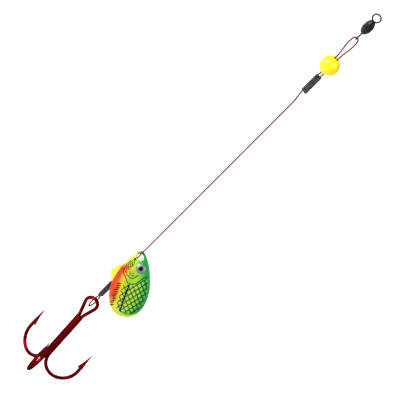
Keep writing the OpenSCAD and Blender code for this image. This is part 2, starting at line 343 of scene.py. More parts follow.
def inside_loop(points: np.ndarray, loop: np.ndarray) -> np.ndarray:
    """Says which points of the plane lie inside a closed loop."""
    x, y = points[:, 0][:, None], points[:, 1][:, None]
    x0, y0 = loop[:, 0][None, :], loop[:, 1][None, :]
    x1, y1 = np.roll(loop[:, 0], -1)[None, :], np.roll(loop[:, 1], -1)[None, :]
    spans = (y0 > y) != (y1 > y)
    rise = np.where(np.abs(y1 - y0) < 1e-12, 1e-12, y1 - y0)
    crossing = x < (x1 - x0) * (y - y0) / rise + x0
    return np.sum(spans & crossing, axis=1) % 2 == 1


def filled_plane(
    outline: np.ndarray, holes: Sequence[np.ndarray], pitch: float
) -> tuple[np.ndarray, list[tuple[int, ...]]]:
    """Fills an outline with triangles, round its holes.

    Args:
        outline: A counter-clockwise loop.
        holes: Counter-clockwise loops inside it.
        pitch: Distance between the points put inside.

    Returns:
        The points, with the outline's and then the holes' first, and the triangles.
    """
    loops = [outline, *holes]
    edges: list[tuple[int, int]] = []
    start = 0
    for loop in loops:
        edges += [(start + k, start + (k + 1) % len(loop)) for k in range(len(loop))]
        start += len(loop)
    low, high = outline.min(axis=0), outline.max(axis=0)
    rows = np.arange(low[1], high[1], pitch * 0.87)
    grid = np.array([
        (x + (i % 2) * pitch / 2, z) for i, z in enumerate(rows) for x in np.arange(low[0], high[0], pitch)
    ])
    kept = inside_loop(grid, outline - loop_normals(outline) * pitch * 0.55)
    for hole in holes:
        kept &= ~inside_loop(grid, hole + loop_normals(hole) * pitch * 0.55)
    flat = np.concatenate([*loops, grid[kept]])
    made = delaunay_2d_cdt([Vector(p) for p in flat.tolist()], edges, [], 1, 1e-7, True)
    spots = np.array([tuple(v) for v in made[0]])
    source = [origin[0] if origin else -1 for origin in made[3]]
    renumber = {i: s for i, s in enumerate(source) if s >= 0}
    triangles = []
    for face in made[2]:
        middle = spots[list(face)].mean(axis=0)[None, :]
        if any(inside_loop(middle, hole)[0] for hole in holes):
            continue
        if all(corner in renumber for corner in face):
            triangles.append(tuple(renumber[corner] for corner in face))
    return flat, triangles


def linear(red: int, green: int, blue: int) -> Colour:
    """Turns a colour of 0 to 255 steps into the linear one that shaders take."""
    def channel(step: int) -> float:
        share = step / 255
        return share / 12.92 if share <= 0.04045 else ((share + 0.055) / 1.055) ** 2.4
    return (channel(red), channel(green), channel(blue))


# --------------------------------------------------------------------------
# Shader nodes
# --------------------------------------------------------------------------
class Web:
    """A node tree, with short calls that add nodes and link them."""

    def __init__(self, tree: bpy.types.NodeTree) -> None:
        """Takes the tree that the nodes go into."""
        self.tree = tree

    def add(self, kind: str, **settings: object) -> bpy.types.Node:
        """Adds a node of a kind and sets its properties."""
        node = self.tree.nodes.new(kind)
        for name, value in settings.items():
            setattr(node, name, value)
        return node

    def feed(self, socket: bpy.types.NodeSocket, value: object) -> None:
        """Links an output to a socket, or sets the socket to a plain value."""
        if isinstance(value, bpy.types.NodeSocket):
            self.tree.links.new(value, socket)
        elif isinstance(value, tuple) and len(value) == 3 and socket.type == "RGBA":
            socket.default_value = (*value, 1.0)
        else:
            socket.default_value = value

    def math(self, operation: str, a: object, b: object = 0.0) -> bpy.types.NodeSocket:
        """Returns the result of a Math node."""
        node = self.add("ShaderNodeMath", operation=operation)
        self.feed(node.inputs[0], a)
        self.feed(node.inputs[1], b)
        return node.outputs[0]

    def span(
        self, value: object, low: float, high: float, start: float = 0.0, end: float = 1.0
    ) -> bpy.types.NodeSocket:
        """Maps a value smoothly from the span low to high onto start to end."""
        node = self.add("ShaderNodeMapRange", interpolation_type="SMOOTHSTEP")
        for socket, given in zip(node.inputs, (value, low, high, start, end)):
            self.feed(socket, given)
        return node.outputs[0]

    def blend(self, share: object, a: object, b: object, mode: str = "MIX") -> bpy.types.NodeSocket:
        """Returns colour a blended towards colour b."""
        node = self.add("ShaderNodeMix", data_type="RGBA", blend_type=mode)
        self.feed(node.inputs[0], share)
        self.feed(node.inputs[6], a)
        self.feed(node.inputs[7], b)
        return node.outputs[2]

    def ramp(self, value: object, stops: Sequence[tuple[float, Colour]]) -> bpy.types.NodeSocket:
        """Returns a colour picked by a value from stops in rising order."""
        node = self.add("ShaderNodeValToRGB")
        self.feed(node.inputs[0], value)
        bar = node.color_ramp
        for k, (place, colour) in enumerate(stops):
            if k < 2:
                bar.elements[k].position = place
            stop = bar.elements[k] if k < 2 else bar.elements.new(place)
            stop.color = (*colour, 1.0)
        return node.outputs[0]

    def kept(self, name: str) -> bpy.types.NodeSocket:
        """Returns a value kept on the mesh's points."""
        return self.add("ShaderNodeAttribute", attribute_name=name).outputs["Fac"]

    def noise(self, scale: object, detail: float = 4.0, vector: object = None) -> bpy.types.NodeSocket:
        """Returns noise in the piece's own space, in features to a metre."""
        node = self.add("ShaderNodeTexNoise")
        if vector is None:
            vector = self.add("ShaderNodeTexCoord").outputs["Object"]
        self.feed(node.inputs["Vector"], vector)
        self.feed(node.inputs["Scale"], scale)
        node.inputs["Detail"].default_value = detail
        return node.outputs["Fac"]

    def relief(self, height: object, strength: float, depth: float) -> bpy.types.NodeSocket:
        """Returns a normal with a relief of a depth in millimetres."""
        node = self.add("ShaderNodeBump")
        node.inputs["Strength"].default_value = strength
        node.inputs["Distance"].default_value = depth * MM
        self.feed(node.inputs["Height"], height)
        return node.outputs[0]

    def group(self, tree: bpy.types.NodeTree, **inputs: object) -> bpy.types.NodeSocket:
        """Places a node group with its values and returns its first output."""
        node = self.add("ShaderNodeGroup", node_tree=tree)
        for name, value in inputs.items():
            self.feed(node.inputs[name], value)
        return node.outputs[0]


def new_group(
    name: str, inputs: Sequence[tuple[str, float]], output: str
) -> tuple[Web, bpy.types.Node, bpy.types.Node]:
    """Starts a node group that gives one value.

    Args:
        name: The group's name.
        inputs: Names and usual values of its inputs.
        output: Name of its output.

    Returns:
        The group's web, its input node and its output node.
    """
    tree = bpy.data.node_groups.new(name, "ShaderNodeTree")
    for label, usual in inputs:
        socket = tree.interface.new_socket(name=label, in_out="INPUT", socket_type="NodeSocketFloat")
        socket.default_value = usual
    tree.interface.new_socket(name=output, in_out="OUTPUT", socket_type="NodeSocketFloat")
    web = Web(tree)
    return web, web.add("NodeGroupInput"), web.add("NodeGroupOutput")


class Effects:
    """Effects that several finishes share, each one node group."""

    def __init__(self) -> None:
        """Makes the three groups."""
        self.rub = self._rub()
        self.mottle = self._mottle()
        self.strands = self._strands()

    @staticmethod
    def _rub() -> bpy.types.NodeTree:
        """Returns patches of wear: 1 where the finish is rubbed."""
        usual = [("Scale", 900.0), ("Cover", 0.3), ("Soft", 0.08)]
        web, given, out = new_group("rubbed_patches", usual, "Mask")
        patch = web.noise(given.outputs["Scale"], 6.0)
        edge = web.math("SUBTRACT", 1.0, web.math("MULTIPLY", given.outputs["Cover"], 0.6))
        above = web.math("SUBTRACT", patch, web.math("MULTIPLY", edge, 0.72))
        share = web.math("DIVIDE", above, given.outputs["Soft"])
        capped = web.math("MINIMUM", web.math("MAXIMUM", share, 0.0), 1.0)
        web.feed(out.inputs[0], capped)
        return web.tree

    @staticmethod
    def _mottle() -> bpy.types.NodeTree:
        """Returns a soft cloudiness round 0, from broad and fine noise."""
        web, given, out = new_group("soft_mottle", [("Scale", 400.0), ("Fine", 0.4)], "Value")
        broad = web.math("SUBTRACT", web.noise(given.outputs["Scale"], 2.0), 0.5)
        finer = web.math("MULTIPLY", given.outputs["Scale"], 6.0)
        small = web.math("SUBTRACT", web.noise(finer, 3.0), 0.5)
        added = web.math("ADD", broad, web.math("MULTIPLY", small, given.outputs["Fine"]))
        web.feed(out.inputs[0], added)
        return web.tree

    @staticmethod
    def _strands() -> bpy.types.NodeTree:
        """Returns the crowns of strands that wind round a wire."""
        web, given, out = new_group("wound_strands", [("Count", 7.0), ("Pitch", 4.0)], "Height")
        turn = web.math("ARCTAN2", web.kept("round_s"), web.kept("round_c"))
        run = web.math("DIVIDE", web.kept("along"), given.outputs["Pitch"])
        wound = web.math("SUBTRACT", turn, web.math("MULTIPLY", run, 2 * math.pi))
        wave = web.math("COSINE", web.math("MULTIPLY", wound, given.outputs["Count"]))
        web.feed(out.inputs[0], web.math("ABSOLUTE", wave))
        return web.tree


@dataclass(frozen=True)
class Finish:
    """A finish: its name, and the shader values that are the same all over."""

    name: str
    metallic: float = 0.0
    roughness: float = 0.4
    coat: float = 0.0
    coat_roughness: float = 0.1
    specular: float = 0.5
    ior: float = 1.5

    def make(self, effects: Effects) -> bpy.types.Material:
        """Makes the material and dresses it.

        Args:
            effects: The shared effects.

        Returns:
            The finished material.
        """
        material = bpy.data.materials.new(self.name)
        material.use_nodes = True
        web = Web(material.node_tree)
        shader = material.node_tree.nodes["Principled BSDF"]
        plain = {
            "Metallic": self.metallic, "Roughness": self.roughness, "Coat Weight": self.coat,
            "Coat Roughness": self.coat_roughness, "Specular IOR Level": self.specular, "IOR": self.ior,
        }
        for name, value in plain.items():
            shader.inputs[name].default_value = value
        for name, value in self.dress(web, effects).items():
            web.feed(shader.inputs[name], value)
        return material

    def dress(self, web: Web, effects: Effects) -> dict[str, object]:
        """Returns what goes into the shader's sockets, by their names."""
        raise NotImplementedError


@dataclass(frozen=True)
class BlackNickel(Finish):
    """Black nickel plating over brass, rubbed a little on its crowns."""

    name: str = "black_nickel"
    metallic: float = 0.3
    roughness: float = 0.3
    coat: float = 0.05
    coat_roughness: float = 0.2
    specular: float = 0.3
    base: Colour = linear(10, 10, 12)
    rubbed: Colour = linear(52, 50, 48)

    def dress(self, web: Web, effects: Effects) -> dict[str, object]:
        """Returns the plating's colour, roughness and fine pitting."""
        cloud = web.group(effects.mottle, Scale=700.0, Fine=0.6)
        worn = web.group(effects.rub, Scale=1500.0, Cover=0.42, Soft=0.1)
        plated = web.blend(web.span(cloud, -0.25, 0.25), self.base, linear(22, 22, 25))
        return {
            "Base Color": web.blend(web.math("MULTIPLY", worn, 0.5), plated, self.rubbed),
            "Roughness": web.span(cloud, -0.3, 0.3, 0.24, 0.46),
            "Normal": web.relief(web.noise(5200.0, 5.0), 0.35, 0.012),
        }


@dataclass(frozen=True)
class NylonCoat(Finish):
    """Red-brown nylon over stranded wire, which shows through as a fine relief."""

    name: str = "red_brown_nylon"
    roughness: float = 0.4
    coat: float = 0.0
    specular: float = 0.12
    base: Colour = linear(118, 38, 4)
    deep: Colour = linear(70, 16, 1)

    def dress(self, web: Web, effects: Effects) -> dict[str, object]:
        """Returns the coat's colour over the strands and its relief."""
        crown = web.group(effects.strands, Count=3.0, Pitch=4.0)
        cloud = web.group(effects.mottle, Scale=260.0, Fine=0.5)
        shaded = web.blend(web.span(crown, 0.1, 0.9), self.deep, self.base)
        return {
            "Base Color": web.blend(web.span(cloud, -0.3, 0.3, 0.0, 0.35), shaded, linear(142, 50, 8)),
            "Roughness": web.span(cloud, -0.3, 0.3, 0.28, 0.44),
            "Normal": web.relief(crown, 0.4, 0.01),
        }


@dataclass(frozen=True)
class BrightStrands(Finish):
    """Bright stainless strands of the leader's core."""

    name: str = "bright_strands"
    metallic: float = 1.0
    roughness: float = 0.3

    def dress(self, web: Web, effects: Effects) -> dict[str, object]:
        """Returns the steel's colour and its drawn grain."""
        cloud = web.group(effects.mottle, Scale=900.0, Fine=0.7)
        dull, bright = linear(150, 150, 152), linear(196, 196, 198)
        return {
            "Base Color": web.blend(web.span(cloud, -0.3, 0.3), dull, bright),
            "Roughness": web.span(cloud, -0.3, 0.3, 0.22, 0.42),
            "Normal": web.relief(web.noise(7000.0, 4.0), 0.3, 0.006),
        }


@dataclass(frozen=True)
class OxidisedSleeve(Finish):
    """Dark oxide on a soft copper sleeve, bruised where the jaws have pressed it."""

    name: str = "oxidised_sleeve"
    metallic: float = 0.4
    roughness: float = 0.42
    specular: float = 0.3
    base: Colour = linear(44, 47, 47)
    bruise: Colour = linear(92, 98, 96)

    def dress(self, web: Web, effects: Effects) -> dict[str, object]:
        """Returns the oxide's colour, its bruises and its drawn scratches."""
        cloud = web.group(effects.mottle, Scale=520.0, Fine=0.8)
        worn = web.group(effects.rub, Scale=1100.0, Cover=0.48, Soft=0.14)
        oxide = web.blend(web.span(cloud, -0.3, 0.3), linear(38, 42, 42), self.base)
        rubbed = web.math("MULTIPLY", worn, 0.55)
        pressed = web.math("MULTIPLY", web.kept("bruise"), 0.6)
        marked = web.math("MAXIMUM", rubbed, pressed)
        return {
            "Base Color": web.blend(marked, oxide, self.bruise),
            "Roughness": web.span(cloud, -0.3, 0.3, 0.34, 0.58),
            "Normal": web.relief(web.noise(3600.0, 6.0), 0.5, 0.02),
        }


@dataclass(frozen=True)
class BeadPlastic(Finish):
    """Bright yellow moulded plastic, a little cloudy inside."""

    name: str = "yellow_bead"
    roughness: float = 0.2
    coat: float = 0.15
    coat_roughness: float = 0.08
    base: Colour = linear(252, 228, 0)

    def dress(self, web: Web, effects: Effects) -> dict[str, object]:
        """Returns the plastic's colour, its cloudiness, a painted glow and its faint orange peel."""
        cloud = web.group(effects.mottle, Scale=330.0, Fine=0.45)
        return {
            "Base Color": web.blend(web.span(cloud, -0.28, 0.3), linear(244, 208, 0), self.base),
            "Roughness": web.span(cloud, -0.3, 0.3, 0.16, 0.3),
            # Painted glow: a constant yellow emission, partly the plastic's fluorescence and partly painted
            # light that lifts the bead's shaded underside.
            "Emission Color": linear(255, 220, 0),
            "Emission Strength": 0.14,
            "Subsurface Weight": 0.2,
            "Subsurface Radius": (0.0012, 0.001, 0.0003),
            "Normal": web.relief(web.noise(900.0, 2.0), 0.18, 0.02),
        }


@dataclass(frozen=True)
class LacqueredBrass(Finish):
    """Polished brass under clear lacquer, with buffing lines across the blade."""

    name: str = "lacquered_brass"
    metallic: float = 1.0
    roughness: float = 0.24
    coat: float = 0.5
    coat_roughness: float = 0.08
    base: Colour = linear(222, 186, 96)

    def dress(self, web: Web, effects: Effects) -> dict[str, object]:
        """Returns the brass's colour with tarnish and its buffing lines."""
        cloud = web.group(effects.mottle, Scale=240.0, Fine=0.5)
        worn = web.group(effects.rub, Scale=420.0, Cover=0.3, Soft=0.2)
        brass = web.blend(web.span(cloud, -0.3, 0.3), linear(196, 156, 70), self.base)
        stretched = web.add("ShaderNodeMapping")
        web.feed(stretched.inputs["Vector"], web.add("ShaderNodeTexCoord").outputs["Object"])
        stretched.inputs["Scale"].default_value = (0.06, 1.0, 1.0)
        lines = web.noise(6000.0, 3.0, stretched.outputs[0])
        return {
            "Base Color": web.blend(web.math("MULTIPLY", worn, 0.4), brass, linear(150, 112, 52)),
            "Roughness": web.span(lines, 0.3, 0.7, 0.18, 0.36),
            "Normal": web.relief(lines, 0.25, 0.006),
        }


@dataclass(frozen=True)
class PrintedFoil(Finish):
    """Printed foil that runs from red at the belly to deep green at the back."""

    name: str = "printed_foil"
    metallic: float = 0.1
    roughness: float = 0.34
    coat: float = 0.3
    coat_roughness: float = 0.08
    specular: float = 0.3

    def _belly(self, web: Web) -> bpy.types.NodeSocket:
        """Returns the colours from the belly's edge inwards."""
        gap = web.math("DIVIDE", web.kept("left_gap"), 6.0)
        warm = web.ramp(gap, [
            (0.0, linear(214, 44, 26)), (0.17, linear(226, 48, 22)), (0.27, linear(234, 98, 22)),
            (0.40, linear(232, 156, 26)), (0.52, linear(196, 200, 34)), (0.68, linear(144, 194, 40)),
        ])
        pale = web.ramp(gap, [
            (0.0, linear(214, 228, 30)), (0.10, linear(236, 236, 50)), (0.20, linear(194, 218, 44)),
            (0.45, linear(146, 206, 46)),
        ])
        low = web.ramp(gap, [
            (0.0, linear(240, 120, 34)), (0.12, linear(240, 196, 40)), (0.26, linear(214, 216, 46)),
            (0.5, linear(150, 206, 54)),
        ])
        from_head = web.span(web.kept("v"), 1.7, 4.4)
        to_tail = web.span(web.kept("v"), 12.6, 15.4)
        return web.blend(to_tail, web.blend(from_head, pale, warm), low)

    def _scales(self, web: Web) -> bpy.types.NodeSocket:
        """Returns 1 at the middle of each scale, and 0 at its edges and off the net."""
        from_x = web.math("SUBTRACT", web.kept("u"), SCALE_CENTRE[0])
        across = web.math("DIVIDE", from_x, SCALE_CELL[0] * 2)
        from_y = web.math("SUBTRACT", web.kept("v"), SCALE_CENTRE[1])
        down = web.math("DIVIDE", from_y, SCALE_CELL[1] * 2)
        offs = []
        for mode in ("SUBTRACT", "ADD"):
            row = web.math(mode, across, down)
            offs.append(web.math("ABSOLUTE", web.math("SUBTRACT", row, web.math("ROUND", row))))
        far = web.math("MAXIMUM", offs[0], offs[1])
        return web.math("MULTIPLY", web.span(far, 0.42, 0.12), web.kept("scales"))

    def dress(self, web: Web, effects: Effects) -> dict[str, object]:
        """Returns the print's colours, its gloss and the foil's fine grain."""
        cloud = web.group(effects.mottle, Scale=420.0, Fine=0.6)
        belly = self._belly(web)
        back_share = web.math("ADD", web.kept("right_gap"), web.math("MULTIPLY", cloud, 0.5))
        mid = web.blend(web.span(back_share, 4.1, 2.2), belly, linear(74, 182, 54))
        back = web.blend(web.span(back_share, 2.8, 1.2), mid, linear(1, 138, 58))
        rim = web.blend(web.span(web.kept("low_gap"), 1.0, 0.45), back, linear(186, 214, 44))
        rim = web.blend(web.math("MULTIPLY", web.kept("back_edge"), 0.9), rim, linear(6, 146, 64))
        scales = self._scales(web)
        shine = web.math("MULTIPLY", scales, web.span(web.kept("right_gap"), 0.8, 3.0, 0.22, 0.6))
        lit = web.blend(shine, rim, linear(170, 216, 84))
        warm = web.blend(web.math("MULTIPLY", web.kept("cheek"), 0.9), lit, linear(248, 176, 34))
        fin = web.blend(web.math("MULTIPLY", web.kept("fin_shade"), 0.62), warm, linear(112, 52, 26))
        shaded = web.blend(web.span(cloud, -0.35, 0.35, 0.0, 0.22), fin, linear(60, 110, 30))
        return {
            "Base Color": shaded,
            "Roughness": web.span(cloud, -0.3, 0.3, 0.22, 0.4),
            "Normal": web.relief(web.noise(2600.0, 4.0), 0.2, 0.01),
        }


@dataclass(frozen=True)
class FilmInk(Finish):
    """Raised ink or film, with a colour that clouds towards a second one."""

    name: str = "print_ink"
    base: Colour = linear(5, 9, 4)
    cloud: Colour = linear(14, 22, 7)
    roughness: float = 0.46
    coat: float = 0.0
    specular: float = 0.12

    def dress(self, web: Web, effects: Effects) -> dict[str, object]:
        """Returns the ink's colour, gloss and grain."""
        cloud = web.group(effects.mottle, Scale=900.0, Fine=0.7)
        return {
            "Base Color": web.blend(web.span(cloud, -0.2, 0.4), self.base, self.cloud),
            "Roughness": web.span(cloud, -0.3, 0.3, self.roughness - 0.07, self.roughness + 0.12),
            "Normal": web.relief(web.noise(5200.0, 3.0), 0.2, 0.006),
        }


@dataclass(frozen=True)
class IrisFilm(Finish):
    """Silver film of the eye: rays on grey, darker at the rim and round the pupil."""

    name: str = "silver_iris"
    metallic: float = 0.35
    roughness: float = 0.3
    coat: float = 0.5
    coat_roughness: float = 0.05

    def dress(self, web: Web, effects: Effects) -> dict[str, object]:
        """Returns the film's rings and rays."""
        reach = web.kept("reach")
        rings = web.ramp(reach, [
            (0.0, linear(40, 40, 44)), (0.5, linear(58, 60, 64)), (0.62, linear(126, 128, 132)),
            (0.84, linear(108, 110, 112)), (0.97, linear(50, 56, 50)),
        ])
        ray = web.math("ABSOLUTE", web.math("SINE", web.math("MULTIPLY", web.kept("turn"), 17.0)))
        return {
            "Base Color": web.blend(web.math("MULTIPLY", ray, 0.3), rings, linear(160, 164, 168)),
            "Roughness": web.span(reach, 0.4, 1.0, 0.2, 0.38),
            "Normal": web.relief(ray, 0.2, 0.01),
        }


@dataclass(frozen=True)
class RedLacquer(Finish):
    """Clear dark red lacquer over bright steel, thinner on the crowns."""

    name: str = "red_lacquer"
    metallic: float = 0.94
    roughness: float = 0.27
    specular: float = 0.2
    coat_roughness: float = 0.12
    base: Colour = linear(128, 4, 18)
    deep: Colour = linear(72, 1, 8)
    edge: Colour = (0.16, 0.004, 0.012)
    coarse: float = 1.0

    def dress(self, web: Web, effects: Effects) -> dict[str, object]:
        """Returns the lacquer's colour where it is thick and thin, and its ripple."""
        cloud = web.group(effects.mottle, Scale=330.0 * self.coarse, Fine=0.6)
        worn = web.group(effects.rub, Scale=640.0, Cover=0.3, Soft=0.16)
        coat = web.blend(web.span(cloud, -0.3, 0.3), self.deep, self.base)
        return {
            "Base Color": web.blend(web.math("MULTIPLY", worn, 0.5), coat, linear(150, 26, 58)),
            "Specular Tint": self.edge,
            "Roughness": web.span(cloud, -0.3, 0.3, 0.2, 0.36),
            "Normal": web.relief(web.noise(1500.0 * self.coarse, 3.0), 0.3, 0.02 * self.coarse),
        }


@dataclass(frozen=True)
class PaleFloor(Finish):
    """The plain pale floor under the lure."""

    name: str = "pale_floor"
    roughness: float = 0.8
    specular: float = 0.1

    def dress(self, web: Web, effects: Effects) -> dict[str, object]:
        """Returns a near-white that hardly varies."""
        cloud = web.group(effects.mottle, Scale=2.0, Fine=0.3)
        dim, pale = linear(247, 247, 247), linear(252, 252, 252)
        seen = web.add("ShaderNodeLightPath").outputs["Is Camera Ray"]
        return {
            "Base Color": web.blend(web.span(cloud, -0.5, 0.5), dim, pale),
            "Emission Color": (1.0, 1.0, 1.0),
            "Emission Strength": web.math("MULTIPLY", seen, 0.9),
        }


class Surface(Enum):
    """Every finish that a piece can have."""

    NICKEL = BlackNickel()
    NYLON = NylonCoat()
    STRANDS = BrightStrands()
    SLEEVE = OxidisedSleeve()
    BEAD = BeadPlastic()
    BRASS = LacqueredBrass()
    FOIL = PrintedFoil()
    INK = FilmInk()
    FIN_INK = FilmInk(name="fin_ink", base=linear(9, 6, 4), cloud=linear(20, 14, 8))
    IRIS = IrisFilm()
    PUPIL = FilmInk(
        name="black_pupil", base=linear(3, 3, 3), cloud=linear(7, 7, 8), roughness=0.2, specular=0.2
    )
    LACQUER = RedLacquer()
    BRAZE = RedLacquer(name="lacquered_braze", base=linear(112, 2, 14), deep=linear(56, 0, 5), coarse=1.8)
    FLOOR = PaleFloor()


class Paints:
    """Makes each finish once and hands it out."""

    def __init__(self) -> None:
        """Makes the shared effects."""
        self.effects = Effects()
        self.made: dict[Surface, bpy.types.Material] = {}

    def get(self, surface: Surface) -> bpy.types.Material:
        """Returns the material of a finish."""
        if surface not in self.made:
            self.made[surface] = surface.value.make(self.effects)
        return self.made[surface]


# --------------------------------------------------------------------------
# The lure's sub-assemblies
# --------------------------------------------------------------------------
@dataclass
class Swivel:
    """The barrel swivel: a hollow barrel and two pear-shaped eyes that turn in it."""

    wire: float = 0.5
    eye_r: float = 1.25
    eye_neck: float = 1.45
    neck_x: float = 0.136
    stem_d: float = 0.84
    head_d: float = 1.24
    head_drop: float = 2.22
    barrel_l: float = 4.6
    barrel_d: float = 3.1
    bulge_r: float = 3.9
    wall: float = 0.35
    hole_r: float = 0.47
    lip: float = 0.1

    def side_radius(self, height: float, inset: float = 0.0) -> float:
        """Returns the barrel's radius at a height from its middle."""
        reach = self.bulge_r - inset
        return self.barrel_d / 2 - self.bulge_r + math.sqrt(reach**2 - height**2)

    def barrel(self) -> Shell:
        """Returns the hollow barrel, with a rolled lip at each end."""
        half = self.barrel_l / 2
        inner = half - self.wall
        outer = [(self.side_radius(z), z) for z in np.linspace(-half + self.lip, half - self.lip, 33)]
        top_r = self.side_radius(half - self.lip)
        rolled = arc((top_r - self.lip, half - self.lip), self.lip, 20, 90, 5)
        mouth = arc((self.hole_r + self.lip / 2, half - self.lip / 2), self.lip / 2, 90, 180, 4)
        ceiling = [(self.hole_r, inner + 0.02), (self.hole_r + 0.02, inner)]
        upper = [*rolled, *mouth, *ceiling]
        lower = [(r, -z) for r, z in reversed(upper)]
        inside = [(self.side_radius(z, self.wall), z) for z in np.linspace(inner, -inner, 21)]
        profile = [*outer, *upper, *inside, *lower]
        return turned_shell(profile, 64)

    def eye_line(self) -> np.ndarray:
        """Returns the centreline of an eye's wire, from inside the stem and back."""
        leg = (self.neck_x, 0.15 - self.eye_neck)
        reach = math.hypot(*leg)
        side = math.degrees(math.atan2(leg[0], -leg[1]) + math.acos(self.eye_r / reach))
        bow = arc((0.0, 0.0), self.eye_r, side - 90, 270 - side, 40)
        root = [(0.16, -2.0), (0.16, -1.72), (0.15, -1.5)]
        halfway = ((leg[0] + bow[0][0]) / 2, (leg[1] + bow[0][1]) / 2)
        right = [*root, (leg[0] + 0.02, leg[1] - 0.02), halfway]
        left = [(-x, z) for x, z in reversed(right)]
        return curve_through([(x, 0.0, z) for x, z in [*right, *bow[::2], bow[-1], *left]], 0.07)

    def eye(self) -> Shell:
        """Returns one eye with its stem and head."""
        ring = swept_wire(self.eye_line(), self.wire / 2, 28)
        top = -self.eye_neck + 0.16
        neck_r = self.stem_d / 2
        head = arc((0.0, -self.head_drop), self.head_d / 2, -88, 38, 14)
        soft = 0.14
        shoulder = arc((neck_r - soft, top - soft), soft, 10, 80, 4)
        collar = [(neck_r, -self.head_drop + 0.5), (neck_r, top - soft), *shoulder]
        stem = turned_shell([*head, *collar, (0.02, top + 0.02)], 40)
        return ring.joined([stem])

    def build(self, paints: Paints) -> None:
        """Makes the barrel and both eyes."""
        nickel = paints.get(Surface.NICKEL)
        middle = -self.eye_neck - self.barrel_l / 2
        barrel = self.barrel().placed(Matrix.Translation((0, 0, middle)))
        barrel.piece("swivel_barrel_shell", nickel, "barrel", "swivel_barrel", ["swivel_barrel"], 60)
        self.eye().piece("line_eye_wire", nickel, "swivel_top", "swivel_wire", ["line_eye"], 60)
        lower = Matrix.Translation((0, 0, 2 * middle)) @ Matrix.Rotation(math.pi / 2, 4, "Z")
        lower = lower @ Matrix.Rotation(math.pi, 4, "X")
        below = self.eye().placed(lower)
        below.piece("leader_eye_wire", nickel, "swivel_bottom", "swivel_wire", ["leader_eye"], 60)


LEADER_ROUTE = [
    (0.425, -22.9, 0), (0.425, -15, 0), (0.425, -8.3, 0),
    (0.5, -7, 0), (0.68, -5.6, 0), (0.88, -4, 0),
    (0.97, -2.6, 0), (0.92, -1.4, 0), (0.74, -0.6, 0), (0.4, -0.12, 0), (0, 0, 0),
    (-0.4, -0.12, 0), (-0.74, -0.6, 0), (-0.92, -1.4, 0), (-0.97, -2.6, 0),
    (-0.88, -4, 0), (-0.68, -5.6, 0), (-0.5, -7, 0), (-0.425, -8.3, 0),
    (-0.425, -15, 0), (-0.425, -22.9, 0),
    (-0.3, -24.4, 0), (-0.08, -26.4, 0), (0, -28.4, 0), (0, -50, 20), (0, -72, 40),
    (0, -96, 58), (0, -98.6, 58), (-0.06, -100.2, 58), (-0.3, -102.6, 58),
    (-0.425, -104.2, 58), (-0.425, -109.9, 58),
    (-0.52, -110.7, 58), (-0.74, -111.4, 58), (-0.87, -112.2, 58),
    (-0.86, -113.1, 58), (-0.7, -114, 58), (-0.38, -114.65, 58), (0, -114.8, 58),
    (0.38, -114.65, 58), (0.7, -114, 58), (0.86, -113.1, 58),
    (0.87, -112.2, 58), (0.74, -111.4, 58), (0.52, -110.7, 58),
    (0.425, -109.9, 58), (0.425, -104.3, 58),
]


@dataclass
class Leader:
    """The coated wire leader: one wire with a crimped loop at each end."""

    top_z: float = -8.23
    coat_d: float = 0.48
    lobes: int = 6
    pitch: float = 4.0
    relief: float = 0.02

    def centreline(self, step: float) -> np.ndarray:
        """Returns the leader's centreline with points a step apart."""
        last = len(LEADER_ROUTE) - 1
        fine = []
        for i in range(last):
            a, b, c, d = (np.array(LEADER_ROUTE[min(max(i + k, 0), last)], float) for k in (-1, 0, 1, 2))
            straight = abs(b[0] - c[0]) < 0.001
            for f in np.linspace(0, 1, 12, endpoint=False):
                if straight:
                    fine.append(b + (c - b) * f)
                else:
                    fine.append(0.5 * (2 * b + (c - a) * f + (2 * a - 5 * b + 4 * c - d) * f**2
                                       + (3 * b - a - 3 * c + d) * f**3))
        fine.append(np.array(LEADER_ROUTE[-1], float))
        stops = np.array(fine)
        turn = np.radians(stops[:, 2])
        x, y = stops[:, 0] * np.cos(turn), stops[:, 0] * np.sin(turn)
        line = np.stack([x, y, stops[:, 1] + self.top_z], axis=1)
        return evenly_spaced(line, step)

    def build(self, paints: Paints) -> None:
        """Makes the coat, on which the strands inside show as a relief."""
        line = self.centreline(0.15)

        def strands(along: np.ndarray, angle: np.ndarray) -> np.ndarray:
            return 1.0 - self.relief * (1 - np.cos(self.lobes * angle)) / 2

        coat = swept_wire(line, self.coat_d / 2, 24, lay=360 / self.pitch, shape=strands)
        nylon = paints.get(Surface.NYLON)
        made = coat.piece("leader_coat", nylon, "leader", "leader_coat", ["leader_jacket"])


